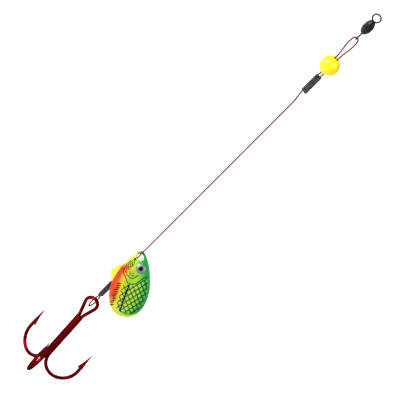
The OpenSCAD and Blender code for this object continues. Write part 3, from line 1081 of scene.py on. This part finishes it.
@dataclass
class Sleeve:
    """A double-barrel crimp sleeve with the dents of the crimping jaws."""

    name: str
    node: str
    top_z: float
    length: float
    turn: float
    strand_x: float = 0.425
    barrel_r: float = 0.59
    bore_r: float = 0.25
    dent_r: float = 0.9
    dent_depth: float = 0.12
    pitch: float = 1.9
    round_r: float = 0.07

    def outline(self, inset: float, count: int = 72) -> np.ndarray:
        """Returns the sleeve's section: two barrels joined by a shallow web."""
        waist = 0.85 * self.barrel_r
        loop = []
        for angle in np.linspace(0, 2 * math.pi, 720, endpoint=False):
            way = np.array([math.cos(angle), math.sin(angle)])
            centre = self.strand_x * (1 if way[0] >= 0 else -1)
            along = centre * way[0]
            bow = along + math.sqrt(max(self.barrel_r**2 - centre**2 + along**2, 0.0))
            web = waist / max(abs(way[1]), 1e-6)
            reach = web if abs(web * way[0]) < self.strand_x * 0.8 else bow
            loop.append(way * max(reach, 0.0))
        smooth = np.array(loop)
        for _ in range(30):
            smooth = (np.roll(smooth, 1, axis=0) + 2 * smooth + np.roll(smooth, -1, axis=0)) / 4
        spaced = evenly_spaced(np.vstack([smooth, smooth[:1]]), 1e-3)[:-1]
        pick = np.linspace(0, len(spaced), count, endpoint=False).astype(int)
        ring = spaced[pick]
        return ring - loop_normals(ring) * inset

    def dented(self, points: np.ndarray) -> tuple[np.ndarray, np.ndarray]:
        """Presses the jaws' dents into points.

        Args:
            points: Points with the sleeve hanging down from z = 0.

        Returns:
            The pressed points, and how hard each was pressed.
        """
        pressed = points.copy()
        bruise = np.zeros(len(points))
        for k in (-1, 0, 1):
            gap = points[:, 2] - (k * self.pitch - self.length / 2)
            near = np.abs(gap) < self.dent_r
            room = np.full(len(points), 9.0)
            jaw = np.sqrt(self.dent_r**2 - gap[near] ** 2)
            room[near] = self.barrel_r + self.dent_r - self.dent_depth - jaw
            over = np.abs(pressed[:, 1]) - room
            hit = over > 0
            pressed[hit, 1] -= np.sign(pressed[hit, 1]) * over[hit]
            pressed[hit, 0] *= 1 + 0.1 * over[hit]
            bruise = np.maximum(bruise, np.clip(over / self.dent_depth, 0, 1))
        return pressed, bruise

    def shell(self) -> Shell:
        """Returns the sleeve with its two bores."""
        rounding = np.radians(np.linspace(0, 90, 5))
        heights = [
            (-self.round_r * (1 - math.sin(a)), self.round_r * (1 - math.cos(a)))
            for a in rounding[::-1]
        ]
        middle = np.linspace(-self.round_r, -self.length + self.round_r, 61)[1:-1]
        mirrored = [(-self.length - z, inset) for z, inset in heights[::-1]]
        levels = [*heights, *[(z, 0.0) for z in middle], *mirrored]
        top = self.outline(levels[0][1])
        bores = [
            np.array([(s * self.strand_x + self.bore_r * math.cos(a), self.bore_r * math.sin(a))
                      for a in np.linspace(0, 2 * math.pi, 20, endpoint=False)])
            for s in (-1, 1)
        ]
        flat, triangles = filled_plane(top, bores, 0.14)
        count, side = len(flat), len(top)
        caps = [np.column_stack([flat, np.full(count, z)]) for z in (0.0, -self.length)]
        rings = [np.column_stack([self.outline(inset), np.full(side, z)]) for z, inset in levels[1:-1]]
        points = np.concatenate([*caps, *rings])
        faces = list(triangles)
        faces += [tuple(corner + count for corner in reversed(face)) for face in triangles]
        starts = [0, *[2 * count + k * side for k in range(len(rings))], count]
        for above, below in zip(starts, starts[1:]):
            faces += ring_strip(below, above, side)
        for k, bore in enumerate(bores):
            first = side + k * len(bore)
            faces += ring_strip(first, first + count, len(bore))
        pressed, bruise = self.dented(points)
        return Shell(pressed, faces, {"bruise": bruise})

    def build(self, paints: Paints) -> None:
        """Makes the sleeve where it is crimped on the leader."""
        place = Matrix.Translation((0, 0, self.top_z)) @ Matrix.Rotation(math.radians(self.turn), 4, "Z")
        shell = self.shell().placed(place)
        shell.piece(self.name, paints.get(Surface.SLEEVE), "leader", "sleeve", [self.node], 50)


@dataclass
class Bead:
    """A moulded bead with a bore, its parting line and its softened mouths."""

    name: str
    node: str
    body: str
    middle_z: float
    diameter: float = 6.0
    bore: float = 1.57
    mouth: float = 0.15
    parting: float = 0.014

    def shell(self) -> Shell:
        """Returns the bead."""
        radius = self.diameter / 2
        bore_r = self.bore / 2
        reach = math.degrees(math.acos((bore_r + self.mouth) / radius))
        outer = []
        for a in np.linspace(-reach, reach, 73):
            ridge = self.parting * math.exp(-((a / 1.1) ** 2))
            outer.append(((radius - self.parting + ridge) * math.cos(math.radians(a)),
                          (radius - self.parting + ridge) * math.sin(math.radians(a))))
        crest = outer[-1][1] - self.mouth
        lip = arc((bore_r + self.mouth, crest), self.mouth, 90, 180, 6)
        walls = [(bore_r, z) for z in np.linspace(crest, -crest, 9)[1:-1]]
        profile = [*outer, *lip[1:], *walls, *[(r, -z) for r, z in reversed(lip[1:])]]
        return turned_shell(profile, 96)

    def build(self, paints: Paints) -> None:
        """Makes the bead on the leader."""
        place = Matrix.Translation((0, 0, self.middle_z))
        shell = self.shell().placed(place)
        shell.piece(self.name, paints.get(Surface.BEAD), self.body, "bead", [self.node], 60)


@dataclass
class Blade:
    """The cupped leaf blade, with its printed foil."""

    hole_x: float = 0.4
    hole_z: float = -101.431
    length: float = 19.6
    width: float = 11.2
    thick: float = 0.4
    hole_d: float = 1.8
    hole_inset: float = 1.8
    leaf_skew: float = 1.45
    leaf_full: float = 0.41
    long_r: float = 30.0
    cross_r: float = 18.0
    lean_out: float = 20.0
    lean_side: float = 27.5
    foil: float = 0.05
    hole_round: float = 0.12
    outline_step: float = 0.17
    sheet_pitch: float = 0.32

    def __post_init__(self) -> None:
        """Works out the outline, the hole's edge and the blade's place."""
        self.mid = self.length / 2 - self.hole_inset
        self.arc_x = self.long_r - self.cross_r
        self.cup_y = math.sqrt(self.long_r**2 - self.mid**2)
        place = Matrix.Translation((self.hole_x, 0, self.hole_z))
        place = place @ Matrix.Rotation(math.radians(-self.lean_out), 4, "X")
        self.place = place @ Matrix.Rotation(math.radians(-self.lean_side), 4, "Y")
        share = (1 - np.cos(np.linspace(0, math.pi, 900))) / 2
        half, height = self.half_width(share), self.hole_inset - share * self.length
        left = np.column_stack([-half, height])
        right = np.column_stack([half, height])[::-1]
        loop = evenly_spaced(np.vstack([left, right[1:]]), self.outline_step)
        self.outline = loop[:-1]
        turn = np.linspace(0, 2 * math.pi, 56, endpoint=False)
        self.hole_way = np.column_stack([np.cos(turn), np.sin(turn)])

    def half_width(self, share: np.ndarray) -> np.ndarray:
        """Returns the leaf's half width at a share of its length from the tip."""
        bow = np.sin(math.pi * np.clip(share, 0, 1) ** self.leaf_skew)
        return self.width / 2 * bow**self.leaf_full

    def on_cup(self, flat: np.ndarray, lift: np.ndarray | float) -> np.ndarray:
        """Puts points of the plane on the cupped sheet.

        Args:
            flat: Points to the right of the hole and above it.
            lift: Distance outward from the sheet's middle.

        Returns:
            The points on the blade, before it is placed.
        """
        reach = self.arc_x + np.sqrt((self.cross_r + lift) ** 2 - flat[:, 0] ** 2)
        depth = self.cup_y - np.sqrt(reach**2 - (flat[:, 1] + self.mid) ** 2)
        return np.column_stack([flat[:, 0], depth, flat[:, 1]])

    def plate(self, rim: Sequence[Point2], mouth: Sequence[Point2], pitch: float) -> Shell:
        """Builds a closed plate from the outline.

        Args:
            rim: Inset from the outline and lift of each edge loop, from the front
                sheet's edge to the back sheet's.
            mouth: The same for the hole, as outsets from its edge.
            pitch: Distance between the sheets' points.

        Returns:
            The plate on the cup, with its place on the blade kept as values.
        """
        normals = loop_normals(self.outline)
        edge = self.outline - normals * rim[0][0]
        hole = self.hole_way * (self.hole_d / 2 + mouth[0][0])
        flat, triangles = filled_plane(edge, [hole], pitch)
        count, side, around = len(flat), len(edge), len(hole)
        sheets = [self.on_cup(flat, rim[0][1]), self.on_cup(flat, rim[-1][1])]
        flats = [flat, flat]
        for inset, lift in rim[1:-1]:
            flats.append(self.outline - normals * inset)
            sheets.append(self.on_cup(flats[-1], lift))
        for outset, lift in mouth[1:-1]:
            flats.append(self.hole_way * (self.hole_d / 2 + outset))
            sheets.append(self.on_cup(flats[-1], lift))
        faces = [tuple(face) for face in triangles]
        faces += [tuple(corner + count for corner in reversed(face)) for face in triangles]
        first = 2 * count
        starts = [0, *[first + k * side for k in range(len(rim) - 2)], count]
        for front, back in zip(starts, starts[1:]):
            faces += ring_strip(back, front, side)
        first += side * (len(rim) - 2)
        starts = [side, *[first + k * around for k in range(len(mouth) - 2)], count + side]
        for front, back in zip(starts, starts[1:]):
            faces += ring_strip(front, back, around)
        spots = np.concatenate(flats)
        return Shell(np.concatenate(sheets), faces, self.spot_values(spots))

    def spot_values(self, spots: np.ndarray) -> dict[str, np.ndarray]:
        """Returns the values that the print needs at points of the plane."""
        u, v = spots[:, 0], -spots[:, 1]
        share = (v + self.hole_inset) / self.length
        half = self.half_width(share)
        foot = self.length - self.hole_inset
        reach = np.clip(1 - (u / (self.width / 2)) ** 2, 0, 1)
        low_gap = foot - v - (1 - reach**0.5) * 5.2

        def soft(values: np.ndarray, low: float, high: float) -> np.ndarray:
            step = np.clip((values - low) / (high - low), 0, 1)
            return step * step * (3 - 2 * step)

        gill = np.interp(u, [-2.6, -0.9, 0.8, 1.95, 2.8, 3.9], [8.8, 8.3, 7.9, 6.7, 5.5, 4.6])
        scales = soft(v - gill, 0.1, 0.5) * soft(low_gap, 0.8, 1.3) * soft(u, -2.6, -2.2)
        fin = np.exp(-(((u + 3.95) / 0.5) ** 2) - ((v - 6.6) / 1.9) ** 2)
        cheek = np.exp(-(((u + 3.15) / 0.5) ** 2) - ((v - 7.3) / 1.3) ** 2)
        return {
            "u": u, "v": v, "left_gap": u + half, "right_gap": half - u, "low_gap": low_gap,
            "scales": scales, "fin_shade": fin, "cheek": cheek,
            "back_edge": soft(half - u, 1.0, 0.35) * soft(v, 16.2, 13.8) * soft(u, 0.2, 1.0),
        }

    def metal(self) -> Shell:
        """Returns the brass blade with a rounded edge and hole."""
        half = self.thick / 2
        turns = np.radians(np.linspace(0, 180, 9))
        rim = [(half * (1 - math.sin(a)), half * math.cos(a)) for a in turns]
        mouth = [(self.hole_round * (1 - math.sin(a)), half * math.cos(a)) for a in turns]
        return self.plate(rim, mouth, self.sheet_pitch * 1.5)

    def film(self) -> Shell:
        """Returns the foil, which wraps a little over the blade's edge."""
        half, sink = self.thick / 2, 0.012
        turns = np.radians(np.linspace(0, 62, 6))
        outer = half + self.foil
        over = [(half - outer * math.sin(a), outer * math.cos(a)) for a in turns]
        under = [(half - (half - sink) * math.sin(a), (half - sink) * math.cos(a)) for a in turns[::-1]]
        hole_out = self.hole_round + 0.02
        mouth = [(hole_out + 0.03, outer), (hole_out, outer - 0.02), (hole_out, half - sink + 0.01),
                 (hole_out + 0.03, half - sink)]
        return self.plate([*over, *under], mouth, self.sheet_pitch)

    def build(self, paints: Paints) -> None:
        """Makes the metal and its foil."""
        metal = self.metal().placed(self.place)
        metal.piece("blade_metal", paints.get(Surface.BRASS), "blade", "blade", ["blade"], 60)
        film = self.film().placed(self.place)
        film.piece("blade_print", paints.get(Surface.FOIL), "blade", "printed_foil", ["blade_foil"], 60)


@dataclass
class Stroke:
    """A line of the print: the points it passes, its width and how its ends close."""

    stops: Sequence[Point2]
    width: float = 0.2
    pointed: float = 0.3
    ripple: float = 0.0


@dataclass
class FishPrint:
    """The fish drawn on the foil: head lines, scales, belly bars and a domed eye.

    Points are given to the right of the blade's hole and below it.
    """

    blade: Blade
    ink_lift: float = 0.03
    eye_centre: Point2 = (1.2, 3.15)
    iris_r: float = 1.4
    pupil_r: float = 0.66

    def head_strokes(self) -> list[Stroke]:
        """Returns the lines of the head."""
        return [
            Stroke([(-2.3, 1.5), (-2.8, 2.7), (-3.1, 3.6), (-3.37, 5.3),
                    (-2.35, 6.7), (-1.4, 7.9), (-0.9, 8.25)], 0.28),
            Stroke([(-0.9, 8.25), (0.8, 7.85), (1.95, 6.6), (2.8, 5.4), (3.7, 4.7)], 0.28),
            Stroke([(-2.3, 5.8), (-1.0, 6.5), (-0.35, 6.5), (0.3, 6.1), (0.85, 5.4), (1.2, 5.05)], 0.27),
            Stroke([(-1.1, 0.55), (-1.72, 1.35), (-2.25, 2.4),
                    (-2.55, 3.5), (-2.72, 4.7), (-2.3, 5.8)], 0.26),
            Stroke([(-1.0, 0.6), (-1.12, 1.1), (-1.3, 1.75)], 0.5, 0.5),
            Stroke([(-1.15, 1.75), (-1.75, 2.2), (-1.95, 3.0), (-1.65, 3.65)], 0.22),
            Stroke([(-1.15, 1.75), (-1.05, 2.4), (-1.25, 3.1), (-1.65, 3.65)], 0.2),
            Stroke([(-1.45, 2.25), (-1.5, 2.8), (-1.55, 3.2)], 0.42, 0.6),
            Stroke([(-1.85, 3.3), (-2.2, 3.7), (-2.25, 4.3), (-1.9, 4.5)], 0.2),
            Stroke([(-1.65, 3.65), (-1.6, 4.05), (-1.9, 4.5)], 0.15),
            Stroke([(-1.95, 3.7), (-2.0, 4.15)], 0.24, 0.5),
            Stroke([(-1.75, 4.7), (-1.6, 5.3), (-1.1, 5.75), (-0.45, 5.8), (0.1, 5.45)], 0.18),
            Stroke([(-1.35, 4.3), (-1.3, 4.9), (-0.95, 5.25), (-0.45, 5.2), (-0.15, 4.9)], 0.12),
            Stroke([(-0.95, 4.35), (-0.85, 4.7), (-0.5, 4.7)], 0.1),
            Stroke([(-2.05, 5.0), (-2.25, 5.35)], 0.22, 0.5),
            Stroke([(0.5, 1.55), (0.68, 1.8)], 0.2, 0.5),
        ]

    def lateral_strokes(self) -> list[Stroke]:
        """Returns the thick line along the fish's side, as short runs that overlap."""
        stops = [
            (-0.5, 8.3), (-0.66, 9.4), (-0.62, 10.5), (-0.8, 11.7),
            (-0.72, 12.7), (-0.9, 13.9), (-0.78, 15.0), (-0.95, 16.3),
        ]
        runs = [
            Stroke([a, ((a[0] + b[0]) / 2 - 0.06, (a[1] + b[1]) / 2), (b[0], b[1] + 0.25)], 0.52, 0.35)
            for a, b in zip(stops, stops[1:])
        ]
        return [*runs, Stroke([(-1.35, 16.15), (-0.9, 16.45), (0.1, 16.6)], 0.3, 0.5)]

    def net_strokes(self) -> list[Stroke]:
        """Returns the edges of the scales: two families of rippled lines."""
        half_a = np.array([SCALE_CELL[0], -SCALE_CELL[1]])
        half_b = np.array(SCALE_CELL)
        centre = np.array(SCALE_CENTRE)
        strokes = []
        for step, way in ((half_a, half_b), (half_b, half_a)):
            for k in range(-14, 14):
                start = centre + (k + 0.5) * step
                line = start + np.arange(-16, 16, 0.02)[:, None] * way
                kept = self.on_net(line)
                edges = np.flatnonzero(np.diff(np.concatenate([[0], kept.astype(int), [0]])))
                for first, end in zip(edges[::2], edges[1::2]):
                    if end - first > 14:
                        strokes.append(Stroke([tuple(p) for p in line[first:end]], 0.27, 0.2, 0.06))
        return strokes

    def on_net(self, spots: np.ndarray) -> np.ndarray:
        """Says which points of a line lie where the fish has scales."""
        values = self.blade.spot_values(np.column_stack([spots[:, 0], -spots[:, 1]]))
        far = (values["left_gap"] > 1.6) & (values["right_gap"] > 0.75)
        return far & (values["scales"] > 0.5)

    def bar_strokes(self) -> list[Stroke]:
        """Returns the short slanted bars of the belly fin."""
        strokes = []
        for k in range(11):
            down = 8.8 + 0.63 * k
            inner = -2.75 - 0.035 * k - 0.12 * math.cos(k * 2.1)
            reach = 1.7 - 0.4 * abs(k - 4) / 6
            bar = [(inner, down), (inner - reach * 0.5, down + 0.3), (inner - reach, down + 0.5)]
            strokes.append(Stroke(bar, 0.44, 0.6))
        return strokes

    def ribbon(self, stroke: Stroke, lift: float) -> Shell:
        """Lays a stroke of raised ink on the foil.

        Args:
            stroke: The stroke.
            lift: Height of its crown over the foil.

        Returns:
            The closed ribbon, before the blade is placed.
        """
        stops = np.column_stack([np.array(stroke.stops), np.zeros(len(stroke.stops))])
        fine = curve_through(stops, 0.1) if len(stops) < 20 else evenly_spaced(stops, 0.12)
        line, along = fine[:, :2], distances(fine)
        ahead = np.gradient(line, axis=0)
        ahead /= np.linalg.norm(ahead, axis=1, keepdims=True)
        side = np.column_stack([-ahead[:, 1], ahead[:, 0]])
        if stroke.ripple:
            wave = 2 * math.pi * along / math.hypot(*SCALE_CELL)
            line = line + side * (stroke.ripple * np.sin(wave))[:, None]
        ends = np.minimum(along, along[-1] - along) / max(stroke.pointed, 1e-3)
        half = stroke.width / 2 * np.sqrt(np.clip(ends, 0.05, 1))
        base = self.blade.thick / 2 + self.blade.foil
        section = [(-1.0, -0.03), (-0.8, lift * 0.75), (0.0, lift), (0.8, lift * 0.75), (1.0, -0.03)]
        rows = []
        for across, height in section:
            spots = line + side * (half * across)[:, None]
            rows.append(self.blade.on_cup(np.column_stack([spots[:, 0], -spots[:, 1]]), base + height))
        points = np.stack(rows, axis=1).reshape(-1, 3)
        return Shell(points, tube_faces(len(line), len(section), turned_over=True))

    def strokes(
        self, name: str, drawn: Sequence[Stroke], surface: Surface, paints: Paints, lift: float
    ) -> None:
        """Makes one piece from several strokes."""
        shells = [self.ribbon(stroke, lift) for stroke in drawn]
        whole = shells[0].joined(shells[1:]).placed(self.blade.place)
        whole.piece(name, paints.get(surface), "blade", "printed_foil")

    def dome(self, radius: float, base: float, crown: float, rings: int = 12, segments: int = 64) -> Shell:
        """Returns a shallow domed disc on the blade.

        Args:
            radius: The disc's radius.
            base: Its edge's lift over the blade's middle.
            crown: How far its middle stands over its edge.
            rings: Rings from the edge to the middle.
            segments: Points in each ring.

        Returns:
            The closed dome, with the share out and the angle kept as values.
        """
        turn = np.linspace(0, 2 * math.pi, segments, endpoint=False)
        centre = np.array(self.eye_centre)
        rows, reach, angles = [], [], []
        levels = [(1.0, -0.06)] + [(s, crown * (1 - s**2) ** 0.8) for s in np.linspace(1, 0.03, rings)]
        for share, lift in levels:
            spots = centre + share * radius * np.column_stack([np.cos(turn), np.sin(turn)])
            rows.append(self.blade.on_cup(np.column_stack([spots[:, 0], -spots[:, 1]]), base + lift))
            reach.append(np.full(segments, share))
            angles.append(turn)
        faces = tube_faces(len(levels), segments, turned_over=True)
        values = {"reach": np.concatenate(reach), "turn": np.concatenate(angles)}
        return Shell(np.concatenate(rows), faces, values)

    def build(self, paints: Paints) -> None:
        """Makes the eye and every line of the print."""
        base = self.blade.thick / 2 + self.blade.foil
        iris = self.dome(self.iris_r, base, 0.16).placed(self.blade.place)
        iris.piece("fish_eye_iris", paints.get(Surface.IRIS), "blade", "printed_foil", (), 60)
        pupil = self.dome(self.pupil_r, base + 0.11, 0.1).placed(self.blade.place)
        pupil.piece("fish_eye_pupil", paints.get(Surface.PUPIL), "blade", "printed_foil", (), 60)
        self.strokes("fish_head_lines", self.head_strokes(), Surface.INK, paints, self.ink_lift)
        self.strokes("fish_scale_net", self.net_strokes(), Surface.INK, paints, self.ink_lift * 0.7)
        self.strokes("fish_lateral_line", self.lateral_strokes(), Surface.INK, paints, self.ink_lift * 1.2)
        self.strokes("fish_belly_bars", self.bar_strokes(), Surface.FIN_INK, paints, self.ink_lift)


@dataclass
class Treble:
    """The treble hook: a double hook bent with its eye, a single one, and the braze."""

    loop_z: float = -123.03
    turn: float = -6.0
    lean: float = 3.0
    wire: float = 1.1
    pitch: float = 1.22
    arc_r: float = 1.9
    arc_z: float = 0.89
    neck_z: float = -3.71
    bend_z: float = -18.91
    single_top: float = -4.31
    single_mid: float = -10.0
    bend_r: float = 5.15
    point_l: float = 7.3
    spear_l: float = 5.6
    point_r: float = 0.03
    barb_l: float = 4.3
    barb_h: float = 0.7
    barb_top: float = 1.3
    barb_cut: float = 0.42
    point_curve: float = 0.85
    braze_top: float = -3.91
    braze_low: float = -18.31
    braze_r: float = 0.98
    braze_dip: float = 0.09

    def __post_init__(self) -> None:
        """Works out the treble's place and its single hook's shank."""
        place = Matrix.Translation((0, 0, self.loop_z)) @ Matrix.Rotation(math.radians(self.turn), 4, "Z")
        self.place = place @ Matrix.Rotation(math.radians(-self.lean), 4, "Y")
        self.single_y = -self.pitch * math.sin(math.radians(60))

    def limb(self, root: Point2, angle: float) -> list[tuple[float, float, float]]:
        """Returns a limb's centreline, from its point down and round to its shank."""
        way = (math.cos(math.radians(angle)), math.sin(math.radians(angle)))
        tip = self.bend_z + self.point_l
        flat = [(2 * self.bend_r, z) for z in np.linspace(tip, self.bend_z, 14, endpoint=False)]
        flat += [(self.bend_r + x, z) for x, z in arc((0.0, self.bend_z), self.bend_r, 0, -180, 40)]
        return [(root[0] + way[0] * x, root[1] + way[1] * x, z) for x, z in flat]

    def point_shape(
        self, length: float, way: np.ndarray, ends: Sequence[bool]
    ) -> tuple[Callable, Callable]:
        """Returns how the wire thins to its points, and how its barbs are raised.

        Args:
            length: The whole wire's length.
            way: Direction from each point towards the shanks, one row an end.
            ends: Whether the wire's first and last end are points.

        Returns:
            A share of the radius, and a shift of each point, for swept_wire.
        """
        def from_point(along: np.ndarray) -> np.ndarray:
            nowhere = np.full_like(along, FAR)
            first = along if ends[0] else nowhere
            second = length - along if ends[1] else nowhere
            return np.minimum(first, second)

        def share(along: np.ndarray, angle: np.ndarray) -> np.ndarray:
            near = np.clip(from_point(along) / self.spear_l, 0, 1)
            low = 2 * self.point_r / self.wire
            return low + (1 - low) * near**self.point_curve

        def barb(along: np.ndarray, angle: np.ndarray, ahead: np.ndarray, out: np.ndarray) -> np.ndarray:
            shift = np.zeros(np.broadcast_shapes(out.shape, ahead.shape))
            for end, inward in enumerate(way):
                if not ends[end]:
                    continue
                gap = along if end == 0 else length - along
                rise = np.clip((gap - self.barb_top) / self.barb_l, 0, 1)
                root = self.barb_top + self.barb_l + self.barb_cut
                fall = np.clip((root - gap) / self.barb_cut, 0, 1)
                height = rise**1.9 * fall
                facing = np.clip(np.einsum("ijk,k->ij", out + 0 * shift, inward), 0, 1) ** 8
                swell = (height * facing)[..., None]
                back = ahead if end == 0 else -ahead
                shift += swell * (self.barb_h * inward + 0.5 * back)
            return shift

        return share, barb

    def hook_wire(self, stops: np.ndarray, ways: np.ndarray, ends: Sequence[bool]) -> Shell:
        """Sweeps a hook's wire with its points and barbs."""
        line = evenly_spaced(stops, 0.13)
        share, barb = self.point_shape(distances(line)[-1], ways, ends)
        return swept_wire(line, self.wire / 2, 32, side=(0, 1, 0.3), shape=share, push=barb)

    def double(self) -> Shell:
        """Returns the double hook, one wire that also makes the eye."""
        half = self.pitch / 2
        leg_z = self.neck_z - self.arc_z
        reach = math.hypot(half, leg_z)
        side = math.degrees(math.atan2(half, -leg_z) + math.acos(self.arc_r / reach))
        bow = arc((0.0, self.arc_z), self.arc_r, side - 90, 270 - side, 48)
        eye = [(half, 0.0, self.neck_z - 0.9), (half + 0.02, 0.0, self.neck_z - 0.25)]
        joined = [(half * 1.12, 0.0, self.neck_z + 0.35), *[(x, 0.0, z) for x, z in bow]]
        mirrored = [(-x, 0.0, z) for x, _, z in reversed([*eye, joined[0]])]
        right = self.limb((half, 0.0), 30)
        left = self.limb((-half, 0.0), 150)
        stops = curve_through([*right, *eye, *joined, *mirrored, *reversed(left)], 0.1)
        ways = -np.array([[math.cos(math.radians(a)), math.sin(math.radians(a)), 0] for a in (30, 150)])
        return self.hook_wire(stops, ways, (True, True))

    def single(self) -> Shell:
        """Returns the single hook."""
        shank = [(0.0, self.single_y, z) for z in (self.single_mid, self.single_top)]
        stops = [*self.limb((0.0, self.single_y), -90), *shank]
        ways = np.array([[0.0, 1.0, 0.0], [0.0, 0.0, 0.0]])
        return self.hook_wire(curve_through(stops, 0.1), ways, (True, False))

    def braze(self) -> Shell:
        """Returns the braze, which fills the grooves between the three shanks."""
        count, middle = 60, self.single_y / 3
        shanks = np.array([(-self.pitch / 2, 0.0), (self.pitch / 2, 0.0), (0.0, self.single_y)])
        toward = np.arctan2(shanks[:, 1] - middle, shanks[:, 0])
        angle = np.linspace(0, 2 * math.pi, count, endpoint=False)
        off = np.min(np.abs((angle[:, None] - toward[None, :] + math.pi) % (2 * math.pi) - math.pi), axis=1)
        heights = np.linspace(self.braze_top, self.braze_low, 120)
        points = []
        for z in heights:
            end = min(self.braze_top - z, z - self.braze_low)
            taper = math.sqrt(min(1.0, 0.12 + end / 0.9))
            wave = 0.02 * math.sin(z * 3.1) + 0.014 * math.sin(z * 7.3 + 1.0)
            dip = self.braze_dip * (off / math.radians(60)) ** 2
            radius = (self.braze_r + wave - dip + 0.01 * np.sin(3 * angle + z * 2.0)) * taper
            x, y = radius * np.cos(angle), middle + radius * np.sin(angle)
            points.append(np.column_stack([x, y, np.full(count, z)]))
        return Shell(np.concatenate(points), tube_faces(len(heights), count, turned_over=True))

    def build(self, paints: Paints) -> None:
        """Makes both hooks and the braze."""
        lacquer = paints.get(Surface.LACQUER)
        double = self.double().placed(self.place)
        double.piece("double_hook_wire", lacquer, "treble", "hook", ["double_hook"], 70)
        single = self.single().placed(self.place)
        single.piece("single_hook_wire", lacquer, "treble", "hook", ["single_hook"], 70)
        braze = self.braze().placed(self.place)
        braze.piece("shank_braze", paints.get(Surface.BRAZE), "treble", "hook_braze", ["hook_braze"], 60)


# --------------------------------------------------------------------------
# Studio
# --------------------------------------------------------------------------
@dataclass
class Studio:
    """The camera, the lights and the pale floor."""

    elevation: float = 20.0
    aim_x: float = 0.97
    aim_up: float = -71.69
    view_width: float = 114.1
    lens: float = 1000.0
    sensor: float = 36.0
    floor_z: float = -0.2
    sky: float = 0.37

    def __post_init__(self) -> None:
        """Works out the view's directions and the point that it aims at."""
        tilt = math.radians(self.elevation)
        upright = Vector((0, math.sin(tilt), math.cos(tilt)))
        self.back = Vector((0, -math.cos(tilt), math.sin(tilt)))
        self.right = (Vector((1, 0, 0)) + upright).normalized()
        self.up = (upright - Vector((1, 0, 0))).normalized()
        self.aim = Vector((self.aim_x, 0, self.aim_up / math.cos(tilt))) * MM

    def camera(self) -> None:
        """Makes the camera, rolled so that the lure lies across the view."""
        data = bpy.data.cameras.new("camera")
        data.lens = self.lens
        data.sensor_width = self.sensor
        made = bpy.data.objects.new("camera", data)
        bpy.context.scene.collection.objects.link(made)
        distance = self.view_width * MM * self.lens / self.sensor
        turn = Matrix((self.right, self.up, self.back)).transposed().to_4x4()
        made.matrix_world = Matrix.Translation(self.aim + self.back * distance) @ turn
        data.clip_start, data.clip_end = 0.05, 50
        bpy.context.scene.camera = made

    def light(self, name: str, way: Vector, distance: float, size: float, power: float) -> None:
        """Adds a soft light that faces the lure.

        Args:
            name: The light's name.
            way: Direction from the lure to the light.
            distance: How far away it stands, in metres.
            size: Its side, in metres.
            power: Its power, in watts.
        """
        data = bpy.data.lights.new(name, "AREA")
        data.size = size
        data.energy = power
        made = bpy.data.objects.new(name, data)
        bpy.context.scene.collection.objects.link(made)
        way = way.normalized()
        made.location = self.aim + way * distance
        made.rotation_mode = "QUATERNION"
        made.rotation_quaternion = way.to_track_quat("Z", "Y")

    def lights(self) -> None:
        """Adds the key light, the fill, the rim light and the pale surroundings."""
        key = self.back * 0.8 + self.up * 0.9 - self.right * 0.25
        self.light("key_light", key, distance=0.55, size=0.32, power=3.9)
        fill = self.back * 0.7 + self.right * 0.9 + self.up * 0.1
        self.light("fill_light", fill, distance=0.7, size=0.3, power=1.7)
        rim = self.up * 0.7 - self.back * 0.5 - self.right * 0.6
        self.light("rim_light", rim, distance=0.6, size=0.3, power=1.6)
        world = bpy.data.worlds.new("pale_surroundings")
        world.use_nodes = True
        background = world.node_tree.nodes["Background"]
        background.inputs["Color"].default_value = (1, 1, 1, 1)
        background.inputs["Strength"].default_value = self.sky
        bpy.context.scene.world = world
        bpy.context.scene.view_settings.view_transform = "Standard"

    def floor(self, paints: Paints) -> None:
        """Lays the pale floor."""
        mesh = bpy.data.meshes.new("floor")
        reach = 9.0
        corners = [(-reach, -reach, self.floor_z), (reach, -reach, self.floor_z),
                   (reach, reach, self.floor_z), (-reach, reach, self.floor_z)]
        mesh.from_pydata(corners, [], [(0, 1, 2, 3)])
        mesh.materials.append(paints.get(Surface.FLOOR))
        made = bpy.data.objects.new("floor", mesh)
        bpy.context.scene.collection.objects.link(made)


def dress_core(paints: Paints) -> None:
    """Gives the leader's core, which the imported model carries, its finish."""
    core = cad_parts["leader_core"]
    core.data.materials.clear()
    core.data.materials.append(paints.get(Surface.STRANDS))


def main() -> None:
    """Builds the studio and the lure, from the swivel down to the hook."""
    logging.basicConfig(level=logging.INFO, format="%(name)s: %(message)s")
    studio = Studio()
    studio.camera()
    paints = Paints()
    Leader().build(paints)
    dress_core(paints)
    studio.lights()
    studio.floor(paints)
    Swivel().build(paints)
    Sleeve("upper_crimp_sleeve", "upper_sleeve", top_z=-24.43, length=6.5, turn=0.0).build(paints)
    Sleeve("lower_crimp_sleeve", "lower_sleeve", top_z=-112.73, length=5.5, turn=58.0).build(paints)
    Bead("upper_yellow_bead", "upper_bead", "upper_bead", middle_z=-19.935).build(paints)
    Bead("lower_yellow_bead", "lower_bead", "blade_bearing", middle_z=-109.535).build(paints)
    blade = Blade()
    blade.build(paints)
    FishPrint(blade).build(paints)
    Treble().build(paints)


if __name__ == "__main__":
    main()
